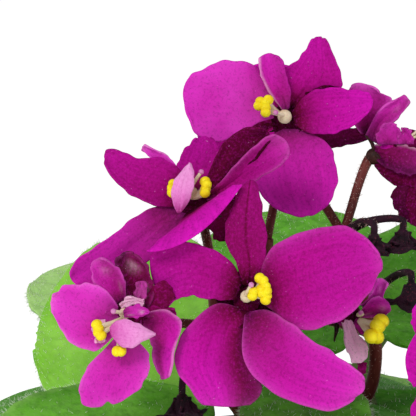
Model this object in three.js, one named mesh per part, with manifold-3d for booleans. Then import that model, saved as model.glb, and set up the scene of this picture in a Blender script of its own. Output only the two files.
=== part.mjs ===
// A potted African violet: a clay pot of potting mix, a rosette of thick scalloped leaves on fleshy
// stalks, and branched flower stalks that carry five-lobed magenta blooms with yellow anthers, some
// fresh and some spent. Millimetres, +Z up, origin at the centre of the underside of the pot.
import * as THREE from "three";
import { mergeVertices } from "three/addons/utils/BufferGeometryUtils.js";
import Module from "manifold-3d";

const wasm = await Module();
wasm.setup();

// ---- Driving dimensions, in millimetres and degrees ----
const SEAT = 0.3; // the clearance between two pieces that touch
const POT = { height: 80, baseRadius: 37, rimRadius: 52, wall: 4.5, band: 17, lip: 3, floor: 6, sides: 28 };
const DRAIN = { radius: 3.5, out: 20, count: 4, sides: 6 };
const SOIL = { top: 70, dome: 3, sides: 20 };
const CROWN = { foot: 62, top: 91, radius: 9, topRadius: 4.2, taper: 0.7, heel: 4, shoulder: 82.9, sides: 9 };
const HEART = { headings: [57, 118, 303], length: 9, width: 5, thickness: 1.2, pitch: 74 };
const LEAF = { thickness: 1.0, scallop: 0.9, rows: 8, columns: 4, belly: 0.4, heel: 0.5, tip: 0.617 };
const LEAF_CURL = { heel: 0.12, tip: 0.06, valley: 1.1, crowding: 1.25 };
const LEAF_STALK = { radius: 1.9, sides: 5, steps: 4, lowRoot: 12, highRoot: 7, climb: 0.45 };
const PETAL = { thickness: 0.6, rows: 4, columns: 3, neck: 1.1, root: 1 };
const TUBE = { radius: 2.1, length: 3, sides: 6 };
const STALK = { radius: 1.2, sides: 6, steps: 7 };
const PEDICEL = { radius: 0.85, sides: 5, steps: 4, budRadius: 1.6, neck: 3 };
const SEPAL = { count: 5, length: 4.6, radius: 0.9, sides: 3 };
const FILAMENT = { radius: 0.45, sides: 3 };
const ANTHER = { radius: 1.15, sides: 6, rings: 3, lift: 1.5 };

// The blooms are laid out as a viewer in front of the plant sees them: right, up and near, from a
// point among them. The viewer looks down on the plant by this angle.
const VIEW_TILT = THREE.MathUtils.degToRad(14);
const VIEW_CENTRE = new THREE.Vector3(-16.6, -20, 140);
const TO_VIEWER = [0, 0, 1];

// Leaves: heading round the crown (0 is +X, 90 is the back), distance out and height of the blade's
// base, blade length and width, pitch of its tip, roll of its left side upwards, droop of its tip,
// and how far its edges cup upwards.
const LEAVES = [
  // the innermost
  { heading: 176, out: 14, up: 112, length: 37, width: 42, pitch: 2, roll: -24, droop: 4, cup: 2 },
  { heading: 149, out: 22, up: 104, length: 37, width: 27, pitch: 15, roll: -4, droop: 2, cup: 2 },
  { heading: 89, out: 14, up: 105, length: 50, width: 33, pitch: 18, roll: 0, droop: 4, cup: 3 },
  { heading: 25, out: 21, up: 114, length: 44, width: 42, pitch: 4, roll: 22, droop: 4, cup: 2 },
  { heading: 272, out: 14, up: 106, length: 34, width: 24, pitch: -8, roll: 0, droop: 5, cup: 1 },
  { heading: 318, out: 20, up: 102, length: 32, width: 26, pitch: -4, roll: 0, droop: 4, cup: 2 },
  // the middle ones
  { heading: 233, out: 23, up: 98, length: 52, width: 46, pitch: -2, roll: -14, droop: 4, cup: 2 },
  { heading: 335, out: 31, up: 94, length: 50, width: 42, pitch: -6, roll: 4, droop: 5, cup: 2 },
  { heading: 60, out: 26, up: 98, length: 50, width: 42, pitch: -2, roll: 3, droop: 6, cup: 2 },
  { heading: 167, out: 28, up: 98, length: 50, width: 44, pitch: -5, roll: 0, droop: 6, cup: 2 },
  // the outermost
  { heading: 4, out: 40, up: 88, length: 54, width: 44, pitch: -9, roll: 0, droop: 8, cup: 2 },
  { heading: 48, out: 38, up: 91, length: 54, width: 44, pitch: -8, roll: 0, droop: 8, cup: 2 },
  { heading: 94, out: 38, up: 88, length: 56, width: 46, pitch: -9, roll: 0, droop: 8, cup: 2 },
  { heading: 141, out: 38, up: 92, length: 54, width: 44, pitch: -9, roll: 0, droop: 8, cup: 2 },
  { heading: 192, out: 38, up: 88, length: 56, width: 46, pitch: -9, roll: 0, droop: 8, cup: 2 },
  { heading: 262, out: 36, up: 88, length: 55, width: 46, pitch: -10, roll: 0, droop: 8, cup: 2 },
  { heading: 304, out: 38, up: 90, length: 54, width: 46, pitch: -11, roll: 0, droop: 8, cup: 2 },
];

// Blooms: centre of the mouth, the way the mouth faces, and its lobes. A lobe has its tip from the
// centre, its width, how far along it is widest, how its middle bows towards the viewer, how far its
// edges cup that way, and its turn about its own length. Anthers and style are from the centre too.
const BLOOMS = {
  a: {
    centre: [6.8, -16.2, 12],
    facing: [-0.1, 0.25, 1],
    lobes: [
      { tip: [23.6, 6.3, 1], width: 18.4, belly: 0.62, bow: 1.2, cup: 0.6, turn: 0 },
      { tip: [20.8, -16.8, 2.4], width: 12.8, belly: 0.64, bow: 1.4, cup: 0.4, turn: 6 },
      { tip: [-5.6, -19.6, 0.8], width: 14.8, belly: 0.62, bow: 1.2, cup: 0.4, turn: 0 },
      { tip: [-16.6, 6.3, 1.6], width: 11.4, belly: 0.64, bow: 0.8, cup: 0.5, turn: -8 },
      { tip: [0.5, 20.6, 3.4], width: 8.6, belly: 0.6, bow: 0.6, cup: -0.8, turn: 30 },
    ],
    anthers: [[3.2, 2.8, 3.2], [4.5, 1.2, 3.4], [4.2, -0.4, 3.2], [1.9, 0.6, 3.6]],
    style: [0.9, 2.5, 4.4],
  },
  b: {
    centre: [14.4, 16.2, -5],
    facing: [-0.25, 0.2, 1],
    lobes: [
      { tip: [-18, 4.2, 2.2], width: 16, belly: 0.58, bow: 1, cup: 0.5, turn: 0 },
      { tip: [2, -17.1, 1], width: 14.6, belly: 0.6, bow: 1.4, cup: 0.4, turn: 0 },
      { tip: [15.6, 1.8, 1.4], width: 9.4, belly: 0.58, bow: 1.2, cup: 0.6, turn: 28 },
      { tip: [6, 14.6, 0.4], width: 10.8, belly: 0.5, bow: 0.8, cup: 0.8, turn: -10 },
      { tip: [-3.6, 11.4, 3.4], width: 6.4, belly: 0.66, bow: 1, cup: 1.2, turn: -40 },
    ],
    anthers: [[-5.1, 2.6, 4], [-3.8, 3, 4.2], [-4, 1.4, 4.4]],
    style: [-2.8, 0.4, 4.2],
  },
  c: {
    centre: [-2.7, 1.4, 6],
    facing: [-0.25, 0.62, 0.74],
    lobes: [
      { tip: [-15.7, 8.2, -1], width: 8.4, belly: 0.55, bow: 1.4, cup: 1, turn: 20 },
      { tip: [-21.2, -12.8, 2.5], width: 11.4, belly: 0.6, bow: 1, cup: 0.4, turn: 14 },
      { tip: [0.6, -3.4, 10.4], width: 18, belly: 0.62, bow: -1, cup: 1.4, turn: -8, side: [0.8, 0.6, 0] },
      { tip: [15.4, 10, 3.6], width: 10.6, belly: 0.62, bow: 1, cup: 2, turn: 8 },
      { tip: [2, 11.2, -6], width: 8, belly: 0.7, bow: 0.6, cup: 0.6, turn: 0 },
    ],
    anthers: [[-4.1, 1.5, 3.4], [-4.1, 2.9, 3.2], [2.2, 1.5, 3.6], [2.3, 3, 3.4]],
    style: [1.5, 5, 2.6],
    petaloid: {
      root: [-2.1, -2.2, 4.8], tip: [-0.5, 6.7, 6], width: 4.4, belly: 0.5, bow: 1, cup: -0.6, turn: 10,
    },
  },
  d: {
    centre: [-14, -18.7, 14],
    facing: [-0.3, 0.1, 1],
    lobes: [
      { tip: [-13.6, 0.4, 1.6], width: 11.8, belly: 0.62, bow: 1, cup: 0.6, turn: 0 },
      { tip: [-5.4, -16.6, 1.8], width: 11.4, belly: 0.62, bow: 1.4, cup: 0.4, turn: 0 },
      { tip: [6.6, -11.8, 1], width: 7.6, belly: 0.66, bow: 1, cup: 0.8, turn: 30 },
      { tip: [9.2, -0.6, 1.6], width: 6, belly: 0.6, bow: 0.8, cup: 0.8, turn: -20 },
      { tip: [-0.6, 11.2, 3.6], width: 7, belly: 0.6, bow: -1.2, cup: 1.6, turn: 16 },
      { tip: [-6.8, 9.2, 0.8], width: 6, belly: 0.6, bow: 0.6, cup: 1.2, turn: 10 },
    ],
    anthers: [[-5.4, -2.1, 3.4], [-5, -3.4, 3.4], [-1.6, -6.4, 4.2]],
    style: [-2.6, 0.6, 4.4],
    petaloid: {
      root: [-3.8, -3, 4.8], tip: [5, -3.6, 5.8], width: 4.8, belly: 0.42, bow: 1.4, cup: -0.8, turn: 12,
    },
  },
  e: {
    centre: [34.4, 12, -7.6],
    facing: [0.8, 0.5, 0.1],
    lobes: [
      { tip: [2.8, 8.4, 1.2], width: 7.4, belly: 0.6, bow: 1, cup: 1, turn: 20 },
      { tip: [-6.4, 9.9, -3], width: 7.6, belly: 0.62, bow: 0.8, cup: 1, turn: 0 },
      { tip: [-13, 5, -7], width: 6, belly: 0.6, bow: 0.8, cup: 0.6, turn: -55 },
      { tip: [6.2, -7.6, 3], width: 8, belly: 0.6, bow: 1.4, cup: -1.6, turn: 10 },
      { tip: [8.4, 1.6, 6], width: 9, belly: 0.6, bow: 1, cup: -1, turn: 0 },
    ],
    anthers: [[4.9, 4.9, -1], [5.7, 3.6, -1.4]],
    style: [2.4, 5, -3.6],
  },
  f: {
    centre: [26.1, -19.3, 2],
    facing: [0.62, 0.1, 0.78],
    lobes: [
      { tip: [5.8, 6.6, 1], width: 3.4, belly: 0.6, bow: 0.6, cup: 0.6, turn: 0 },
      { tip: [6.4, 2.2, 2], width: 4.6, belly: 0.66, bow: 0.8, cup: 0.8, turn: 0 },
      { tip: [1.2, -8.2, 1.4], width: 4.6, belly: 0.7, bow: 0.8, cup: 0.6, turn: 0 },
    ],
    anthers: [[4.8, -0.8, 3.8], [4.2, -2.2, 3.9], [3.4, -3.8, 3.8]],
    style: [2.6, 0.2, 4.4],
  },
  g: {
    centre: [43.5, -27.5, 8],
    facing: [0.3, 0.4, 1],
    lobes: [
      { tip: [-8.4, 1.4, 1.4], width: 11, belly: 0.6, bow: 1, cup: 0.6, turn: 0 },
      { tip: [-4.2, 12.4, 0.6], width: 9.6, belly: 0.6, bow: 1, cup: 0.6, turn: 0 },
      { tip: [8, 10.4, 0.4], width: 9.6, belly: 0.6, bow: 1, cup: 0.6, turn: 0 },
      { tip: [13.2, -5.4, 1], width: 13, belly: 0.62, bow: 1, cup: 0.5, turn: 0 },
      { tip: [-1.4, -14.6, 1.6], width: 13.4, belly: 0.62, bow: 1, cup: 0.5, turn: 0 },
    ],
    anthers: [[-1.3, 0.9, 3.4], [0.4, 1.2, 3.6]],
    style: [1.8, -1, 4.4],
  },
};

// The two blooms on the far side keep to one pattern of lobes, in their own frame: right, up and out
// of the mouth. Each is turned to its facing.
const PLAIN_LOBES = [
  { tip: [13.8, -5.2, 1.6], width: 13, belly: 0.62, bow: 1, cup: 0.5, turn: 0 },
  { tip: [0, -15.4, 1.2], width: 14, belly: 0.62, bow: 1, cup: 0.5, turn: 0 },
  { tip: [-13.8, -5.2, 1.6], width: 13, belly: 0.62, bow: 1, cup: 0.5, turn: 0 },
  { tip: [-7.4, 10.4, 1], width: 9.6, belly: 0.58, bow: 1, cup: 0.6, turn: 0 },
  { tip: [7.4, 10.4, 1], width: 9.6, belly: 0.58, bow: 1, cup: 0.6, turn: 0 },
];
const PLAIN_ANTHERS = [[-1.1, -0.8, 3.4], [0.7, -0.8, 3.6]];
const PLAIN_STYLE = [2.4, 1.6, 4.4];
const FAR_BLOOMS = {
  h: { centre: [12.4, 13.5, -30], facing: [-0.1, 0.5, -0.84], spin: 12 },
  i: { centre: [54, 4, -10], facing: [0.86, 0.5, -0.1], spin: -20 },
};

// Spent blooms hang shrivelled: where each hangs, how long and wide it droops, and its first turn. A
// pedicel comes down to one from a hook above it, and holds it at this height from its centre.
const SPENT_LOBES = { count: 4, width: 4.4, rows: 2, hook: 3, hold: -0.45 };
const SPENT = {
  r: { centre: [35.3, -3.6, -5], droop: 6.4, spread: 3.2, start: 20 },
  s: { centre: [29.9, -4.4, -1], droop: 5, spread: 1.8, start: 20 },
  t: { centre: [36, -13.4, 0], droop: 6.6, spread: 3, start: 0 },
  u: { centre: [-4.6, -33, 5], droop: 6.4, spread: 3, start: 40 },
};

// Flower stalks, in the pot's frame: heading and height where each leaves the crown, and the points
// of its trunk. For each bloom that it carries come the points on the way, the first on the trunk.
const STALKS = {
  p: {
    heading: 238, height: 88,
    trunk: [[-8, -13, 97], [-13.2, -18.5, 105], [-15, -20.5, 118], [-16, -21, 130]],
    carries: {
      c: [[-16, -21, 130]],
      a: [[-15, -20.5, 118], [-11.8, -25, 120]],
      d: [[-15, -20.5, 118], [-20, -24, 119.5], [-25, -28, 121]],
      u: [[-14.6, -20, 114.5], [-19, -23.5, 115.5]],
    },
  },
  q: {
    heading: 340, height: 88,
    trunk: [[9, -3.4, 95], [13, -5, 103], [13.2, -8, 113], [10.6, -12, 126], [8, -14, 133.5]],
    carries: {
      e: [[8, -14, 133.5], [8.4, -13, 138]],
      h: [[8, -14, 133.5], [4.5, -12, 139.4], [1, -4, 142], [-2.5, 4, 143]],
      r: [[8, -14, 133.5], [13, -15.5, 138]],
      s: [[8, -14, 133.5], [11, -17, 136.6]],
      f: [[13.2, -8, 113], [9.6, -13.5, 116]],
      t: [[12.8, -9, 117], [15.6, -13, 124]],
    },
  },
  v: {
    heading: 215, height: 90,
    trunk: [[-5.5, -5.4, 97], [-6, -6.6, 105], [-6.4, -9.8, 114], [-6.2, -13, 125], [-5.8, -13, 132.5]],
    carries: { b: [[-5.8, -13, 132.5], [-4.4, -10, 139], [-2.4, -5.6, 147]] },
  },
  w: {
    heading: 356, height: 85,
    trunk: [[14, -2, 91], [27, -2, 95], [37, -3, 102], [38, -8, 110]],
    carries: {
      g: [[38, -8, 110], [34, -18, 112.5]],
      i: [[38, -8, 110], [34, -9, 124]],
    },
  },
};

const COLOURS = {
  clay: { color: 0xb5694a, roughness: 0.9 },
  soil: { color: 0x3b2a20, roughness: 1 },
  leaf: { color: 0x3f8f2c, roughness: 0.75 },
  crown: { color: 0x7fae4e, roughness: 0.75 },
  stalk: { color: 0x5c1a1c, roughness: 0.7 },
  petal: { color: 0xb0128f, roughness: 0.6 },
  pale: { color: 0xd879bd, roughness: 0.6 },
  anther: { color: 0xf2d414, roughness: 0.55 },
  spent: { color: 0x2c0f22, roughness: 0.85 },
};

// ---- Solids ----
const UP = new THREE.Vector3(0, 0, 1);
const degrees = THREE.MathUtils.degToRad;
const vector = (list) => new THREE.Vector3(...list);

// A closed three.js geometry as a solid that can be joined and cut.
function solid(geometry) {
  const bare = geometry.index ? geometry.toNonIndexed() : geometry.clone();
  bare.deleteAttribute("normal");
  bare.deleteAttribute("uv");
  const merged = mergeVertices(bare, 1e-3);
  const corners = Array.from(merged.index.array);
  const kept = [];
  for (let i = 0; i < corners.length; i += 3) {
    const [p, q, r] = corners.slice(i, i + 3);
    if (p !== q && q !== r && r !== p) kept.push(p, q, r);
  }
  return new wasm.Manifold(new wasm.Mesh({
    numProp: 3,
    vertProperties: merged.attributes.position.array,
    triVerts: new Uint32Array(kept),
  }));
}

// Several closed geometries or solids joined into one solid.
function joined(pieces) {
  return pieces
    .map((piece) => (piece.isBufferGeometry ? solid(piece) : piece))
    .reduce((whole, piece) => whole.add(piece));
}

function geometryOf(whole) {
  const mesh = whole.getMesh();
  return new THREE.BufferGeometry()
    .setAttribute("position", new THREE.BufferAttribute(mesh.vertProperties, 3))
    .setIndex(new THREE.BufferAttribute(mesh.triVerts, 1));
}

function node(name, geometry, look) {
  const mesh = new THREE.Mesh(geometry, new THREE.MeshStandardMaterial(COLOURS[look]));
  mesh.name = name;
  return mesh;
}

// A thin closed blade over a grid. at(s, a) is a point of its upper face, s along it from 0 to 1 and
// a across it from -1 to 1. Both faces are split into triangles alike, so they never cross.
function bladeGeometry(at, rows, columns, thickness) {
  const upper = [];
  for (let i = 0; i <= rows; i++)
    for (let j = 0; j <= columns; j++) upper.push(at(i / rows, (2 * j) / columns - 1));
  const id = (i, j) => i * (columns + 1) + j;
  const clamp = (value, most) => Math.min(Math.max(value, 0), most);
  const point = (i, j) => upper[id(clamp(i, rows), clamp(j, columns))];
  const lower = upper.map((corner, k) => {
    const [i, j] = [Math.floor(k / (columns + 1)), k % (columns + 1)];
    const along = point(i + 1, j).clone().sub(point(i - 1, j));
    const across = point(i, j + 1).clone().sub(point(i, j - 1));
    return corner.clone().addScaledVector(along.cross(across).normalize(), -thickness);
  });
  const under = upper.length;
  const faces = [];
  for (let i = 0; i < rows; i++)
    for (let j = 0; j < columns; j++) {
      const [p, q, r, s] = [id(i, j), id(i + 1, j), id(i + 1, j + 1), id(i, j + 1)];
      faces.push(p, q, r, p, r, s);
      faces.push(under + p, under + r, under + q, under + p, under + s, under + r);
    }
  const rim = [];
  for (let i = 0; i < rows; i++) rim.push(id(i, 0));
  for (let j = 0; j < columns; j++) rim.push(id(rows, j));
  for (let i = rows; i > 0; i--) rim.push(id(i, columns));
  for (let j = columns; j > 0; j--) rim.push(id(0, j));
  rim.forEach((p, k) => {
    const q = rim[(k + 1) % rim.length];
    faces.push(p, under + q, q, p, under + p, under + q);
  });
  const corners = [...upper, ...lower].flatMap((corner) => corner.toArray());
  return new THREE.BufferGeometry()
    .setAttribute("position", new THREE.Float32BufferAttribute(corners, 3))
    .setIndex(faces);
}

// A round stem of one thickness along a smooth curve through the points.
function stemGeometry(points, radius, steps, sides = STALK.sides) {
  const section = new THREE.Shape(
    Array.from({ length: sides }, (_, k) => {
      const turn = (k / sides) * 2 * Math.PI;
      return new THREE.Vector2(radius * Math.cos(turn), radius * Math.sin(turn));
    }),
  );
  const extrudePath = new THREE.CatmullRomCurve3(points, false, "centripetal");
  return new THREE.ExtrudeGeometry(section, { steps, extrudePath, bevelEnabled: false });
}

function ballGeometry(centre, radius, sides = 6, rings = 4) {
  return new THREE.SphereGeometry(radius, sides, rings).translate(...centre.toArray());
}

// A cone from one point to another.
function spikeGeometry(from, to, radius, sides) {
  const way = to.clone().sub(from);
  const turn = new THREE.Quaternion().setFromUnitVectors(new THREE.Vector3(0, 1, 0), way.clone().normalize());
  return new THREE.ConeGeometry(radius, way.length(), sides)
    .translate(0, way.length() / 2, 0)
    .applyQuaternion(turn)
    .translate(...from.toArray());
}

function latheGeometry(profile, sides) {
  const outline = profile.map(([r, z]) => new THREE.Vector2(r, z));
  return new THREE.LatheGeometry(outline, sides).rotateX(Math.PI / 2);
}

// ---- Pot, soil and crown ----
function pot() {
  const { height, baseRadius, rimRadius, wall, band, lip, floor, sides } = POT;
  const under = height - band;
  const shell = solid(latheGeometry([
    [0, 0], [baseRadius, 0], [rimRadius - lip, under], [rimRadius, under + 1], [rimRadius, height - 1.5],
    [rimRadius - 1.5, height], [rimRadius - wall, height], [rimRadius - lip - wall, under],
    [baseRadius - wall, floor], [0, floor],
  ], sides));
  const holes = Array.from({ length: DRAIN.count }, (_, k) => {
    const turn = (k / DRAIN.count) * 2 * Math.PI;
    return solid(new THREE.CylinderGeometry(DRAIN.radius, DRAIN.radius, 2 * floor, DRAIN.sides)
      .rotateX(Math.PI / 2)
      .translate(DRAIN.out * Math.cos(turn), DRAIN.out * Math.sin(turn), floor / 2));
  });
  return node("pot", geometryOf(holes.reduce((whole, hole) => whole.subtract(hole), shell)), "clay");
}

function soilRadius(z) {
  const { height, baseRadius, rimRadius, wall, band, lip, floor } = POT;
  const share = (z - floor) / (height - band - floor);
  const inside = share < 1
    ? THREE.MathUtils.lerp(baseRadius - wall, rimRadius - lip - wall, share)
    : THREE.MathUtils.lerp(rimRadius - lip - wall, rimRadius - wall, (z - height + band) / band);
  return inside - SEAT;
}

function soil() {
  const { top, dome, sides } = SOIL;
  const { floor, height, band } = POT;
  const heap = latheGeometry([
    [0, floor + SEAT], [soilRadius(floor + SEAT) - SEAT, floor + SEAT],
    [soilRadius(height - band), height - band], [soilRadius(top), top],
    [soilRadius(top) * 0.6, top + dome * 0.8], [0, top + dome],
  ], sides);
  return node("soil", geometryOf(solid(heap).subtract(solid(crownGeometry(SEAT)))), "soil");
}

// The short woody stem that every leaf and flower stalk grows from, grown outwards by spare.
function crownGeometry(spare = 0) {
  const { foot, top, radius, topRadius, taper, heel, shoulder, sides } = CROWN;
  return latheGeometry([
    [0, foot - spare], [radius * taper + spare, foot - spare],
    [radius + spare, foot + heel], [radius + spare, shoulder],
    [topRadius + spare, top + spare], [0, top + spare],
  ], sides);
}

function crown() {
  const { headings, length, width, thickness, pitch } = HEART;
  const at = (s, a) => new THREE.Vector3(
    s * length,
    a * (width / 2) * Math.sin(Math.PI * Math.min(0.96, 0.12 + 0.86 * s)),
    0.16 * a * a * width - 1.2 * s * s,
  );
  const hearts = headings.map((heading) => bladeGeometry(at, 3, 2, thickness)
    .rotateY(-degrees(pitch))
    .translate(0.8, 0, CROWN.top - 1.6)
    .rotateZ(degrees(heading)));
  return node("crown", geometryOf(joined([crownGeometry(), ...hearts])), "crown");
}

// ---- Leaves ----
// Half the width of a leaf at s along it, as a share of its greatest half width.
function leafOutline(s) {
  const { belly, heel, tip } = LEAF;
  const off = (s - belly) / (s < belly ? heel : tip);
  return Math.sqrt(1 - off * off);
}

// A point of a leaf's upper face, before it is pitched: x out, y to its left, z up. Its heel curls
// back on both sides of the stalk, and its middle rib lies in a shallow valley.
function leafPoint({ length, width, droop, cup }, s, a, scallop = 0) {
  const back = LEAF_CURL.heel * Math.sin(0.95 * Math.PI * Math.abs(a)) * (1 - s) ** 3;
  const round = LEAF_CURL.tip * a * a * s ** 6;
  const half = (width / 2) * leafOutline(s) - scallop;
  const valley = LEAF_CURL.valley * (1 - Math.abs(a)) ** 3 * (1 - s);
  const rise = cup * a * a * (0.4 + 0.6 * s) - droop * s * s - valley;
  return new THREE.Vector3(length * (s - back - round), a * half, rise);
}

function leaf(spec, index) {
  const tilt = new THREE.Matrix4()
    .makeTranslation(spec.out, 0, spec.up)
    .multiply(new THREE.Matrix4().makeRotationY(-degrees(spec.pitch)))
    .multiply(new THREE.Matrix4().makeRotationX(degrees(spec.roll)));
  const blade = bladeGeometry((t, a) => {
    const notch = Math.abs(a) === 1 && Math.round(t * LEAF.rows) % 2 === 1 ? LEAF.scallop : 0;
    const s = 1 - (1 - t) ** LEAF_CURL.crowding;
    return leafPoint(spec, s, a, notch).applyMatrix4(tilt);
  }, LEAF.rows, LEAF.columns, LEAF.thickness);
  const sunk = LEAF_STALK.radius + LEAF.thickness * 0.35;
  const under = (s) => leafPoint(spec, s, 0).sub(new THREE.Vector3(0, 0, sunk)).applyMatrix4(tilt);
  const { lowRoot, highRoot, climb } = LEAF_STALK;
  const below = Math.max(highRoot, lowRoot - (spec.up - CROWN.top) * climb);
  const root = new THREE.Vector3(2, 0, CROWN.top - below);
  const knee = new THREE.Vector3(spec.out * 0.5 + 4, 0, THREE.MathUtils.lerp(root.z, under(0).z, 0.7));
  const path = [root, knee, under(0.04), under(0.3)];
  const stalk = stemGeometry(path, LEAF_STALK.radius, LEAF_STALK.steps, LEAF_STALK.sides);
  const socket = solid(crownGeometry(SEAT).rotateZ(-degrees(spec.heading)));
  const whole = joined([blade, stalk]).subtract(socket);
  const mesh = node(`leaf_${String(index + 1).padStart(2, "0")}`, geometryOf(whole), "leaf");
  mesh.rotation.z = degrees(spec.heading);
  return mesh;
}

// ---- Blooms ----
// Half the width of a lobe at s along it, as a share of its greatest half width.
function lobeOutline(s, belly) {
  if (s < belly) return Math.sin((Math.PI / 2) * (s / belly) ** 1.2);
  return Math.sqrt(1 - 0.8 * ((s - belly) / (1 - belly)) ** 2);
}

// A point of a lobe's face. The lobe starts just off the middle of the mouth unless it has a root of
// its own, and it lies square to the viewer unless it has a side or a facing.
function lobePoint(lobe, s, a) {
  const root = lobe.root ? vector(lobe.root) : vector(lobe.tip).setLength(PETAL.root);
  const way = vector(lobe.tip).sub(root);
  const ahead = way.clone().normalize();
  const side = lobe.side ? vector(lobe.side) : vector(lobe.facing ?? TO_VIEWER).cross(ahead);
  side.normalize().applyAxisAngle(ahead, degrees(lobe.turn));
  const face = ahead.clone().cross(side).normalize();
  const half = Math.max(PETAL.neck * (1 - s), (lobe.width / 2) * lobeOutline(s, lobe.belly));
  const along = s - 0.1 * a * a * s ** 3;
  return root
    .addScaledVector(way, along)
    .addScaledVector(side, a * half)
    .addScaledVector(face, lobe.bow * Math.sin(Math.PI * s) + lobe.cup * a * a * s);
}

function lobeGeometry(lobe, rows = PETAL.rows, columns = PETAL.columns) {
  return bladeGeometry((s, a) => lobePoint(lobe, s, a), rows, columns, PETAL.thickness);
}

// The corolla: its lobes spread from the mouth of a short tube, with the style rising from it.
function corolla(name, { centre, facing, lobes, style }) {
  const ahead = vector(facing).normalize();
  const mouth = ahead.clone().multiplyScalar(0.2);
  const back = ahead.clone().multiplyScalar(-TUBE.length);
  const tube = stemGeometry([mouth, back], TUBE.radius, 1, TUBE.sides);
  const stalk = stemGeometry([back.multiplyScalar(0.2), vector(style)], FILAMENT.radius, 1, FILAMENT.sides);
  const petals = lobes.map((lobe) => lobeGeometry(lobe));
  const mesh = node(`bloom_${name}_petals`, geometryOf(joined([...petals, tube, stalk])), "petal");
  mesh.position.set(...centre);
  return mesh;
}

// Where a filament starts: just clear of the mouth, on the side that it leans to.
function filamentFoot(facing, towards) {
  const ahead = vector(facing).normalize();
  const aside = towards.clone().addScaledVector(ahead, -towards.dot(ahead)).setLength(1);
  return ahead.multiplyScalar(ANTHER.lift).add(aside);
}

// The yellow anthers, held together on short filaments over the mouth.
function anthers(name, { centre, facing, anthers: heads }) {
  const middle = heads.reduce((sum, head) => sum.add(vector(head)), new THREE.Vector3());
  const foot = filamentFoot(facing, middle);
  const pieces = heads.flatMap((head) => [
    ballGeometry(vector(head), ANTHER.radius, ANTHER.sides, ANTHER.rings),
    stemGeometry([foot, vector(head)], FILAMENT.radius, 1, FILAMENT.sides),
  ]);
  const mesh = node(`bloom_${name}_anthers`, geometryOf(joined(pieces)), "anther");
  mesh.position.set(...centre);
  return mesh;
}

// The pale inner lobe that some blooms hold over their anthers.
function petaloid(name, { centre, petaloid: lobe }) {
  const mesh = node(`bloom_${name}_petaloid`, geometryOf(solid(lobeGeometry(lobe, 4, 2))), "pale");
  mesh.position.set(...centre);
  return mesh;
}

// A bloom of the plain pattern, its lobes turned to the way that it faces.
function plainBloom({ centre, facing, spin }) {
  const turn = new THREE.Quaternion()
    .setFromUnitVectors(UP, vector(facing).normalize())
    .multiply(new THREE.Quaternion().setFromAxisAngle(UP, degrees(spin)));
  const turned = (list) => vector(list).applyQuaternion(turn).toArray();
  return {
    centre,
    facing,
    lobes: PLAIN_LOBES.map((lobe) => ({ ...lobe, facing, tip: turned(lobe.tip) })),
    anthers: PLAIN_ANTHERS.map(turned),
    style: turned(PLAIN_STYLE),
  };
}

// A shrivelled bloom: narrow twisted lobes that hang from one point.
function spentBloom(name, { centre, droop, spread, start }) {
  const { count, width, rows } = SPENT_LOBES;
  const hanging = Array.from({ length: count }, (_, k) => {
    const turn = degrees(start + (k * 360) / count);
    const fall = droop * (0.85 + 0.15 * Math.cos(3 * turn));
    const tip = [spread * Math.cos(turn), -fall, spread * Math.sin(turn)];
    const side = [-Math.sin(turn), 0, Math.cos(turn)];
    const lobe = { tip, side, width, belly: 0.55, bow: 1.3, cup: -1.1, turn: 0 };
    return lobeGeometry(lobe, rows, 2);
  });
  const mesh = node(`spent_bloom_${name}`, geometryOf(joined(hanging)), "spent");
  mesh.position.set(...centre);
  return mesh;
}

// ---- Flower stalks, in the part's own frame ----
const display = new THREE.Group();
display.position.copy(VIEW_CENTRE);
display.rotation.x = Math.PI / 2 - VIEW_TILT;
display.updateMatrixWorld(true);
const shown = (list) => display.localToWorld(vector(list));
const shownWay = (list) => vector(list).transformDirection(display.matrixWorld);

// The cup of narrow sepals behind a bloom: its middle, the way it faces, and its solids.
function calyx({ centre, facing }) {
  const ahead = shownWay(facing);
  const heart = shown(centre).addScaledVector(ahead, -(TUBE.length + SEAT + PEDICEL.budRadius));
  const side = new THREE.Vector3(1, 0, 0).cross(ahead).normalize();
  const sepals = Array.from({ length: SEPAL.count }, (_, k) => {
    const out = side.clone().applyAxisAngle(ahead, (k / SEPAL.count) * 2 * Math.PI);
    const tip = heart.clone().addScaledVector(out, SEPAL.length).addScaledVector(ahead, 0.6);
    return spikeGeometry(heart, tip, SEPAL.radius, SEPAL.sides);
  });
  return { heart, ahead, pieces: [ballGeometry(heart, PEDICEL.budRadius), ...sepals] };
}

// The pedicel to a bloom's calyx, with the calyx, or to just above a spent bloom.
function branch(bloom, way, blooms) {
  const { radius, steps, sides, neck } = PEDICEL;
  const pedicel = (end) => stemGeometry([...way.map(vector), ...end], radius, steps, sides);
  if (SPENT[bloom]) {
    const over = (height) => shown(SPENT[bloom].centre).addScaledVector(UP, height);
    return [pedicel([over(SPENT_LOBES.hook), over(SPENT_LOBES.hold)])];
  }
  const { heart, ahead, pieces } = calyx(blooms[bloom]);
  return [pedicel([heart.clone().addScaledVector(ahead, -neck), heart]), ...pieces];
}

function flowerStalk(name, { heading, height, trunk, carries }, blooms) {
  const root = new THREE.Vector3(2, 0, height).applyAxisAngle(UP, degrees(heading));
  const stem = stemGeometry([root, ...trunk.map(vector)], STALK.radius, STALK.steps, STALK.sides);
  const branches = Object.entries(carries).flatMap(([bloom, way]) => branch(bloom, way, blooms));
  const whole = joined([stem, ...branches]).subtract(solid(crownGeometry(SEAT)));
  return node(`flower_stalk_${name}`, geometryOf(whole), "stalk");
}

// ---- The plant in its pot ----
const blooms = { ...BLOOMS };
for (const [name, spec] of Object.entries(FAR_BLOOMS)) blooms[name] = plainBloom(spec);
for (const [name, bloom] of Object.entries(blooms)) {
  display.add(corolla(name, bloom), anthers(name, bloom));
  if (bloom.petaloid) display.add(petaloid(name, bloom));
}
for (const [name, spec] of Object.entries(SPENT)) display.add(spentBloom(name, spec));

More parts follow.
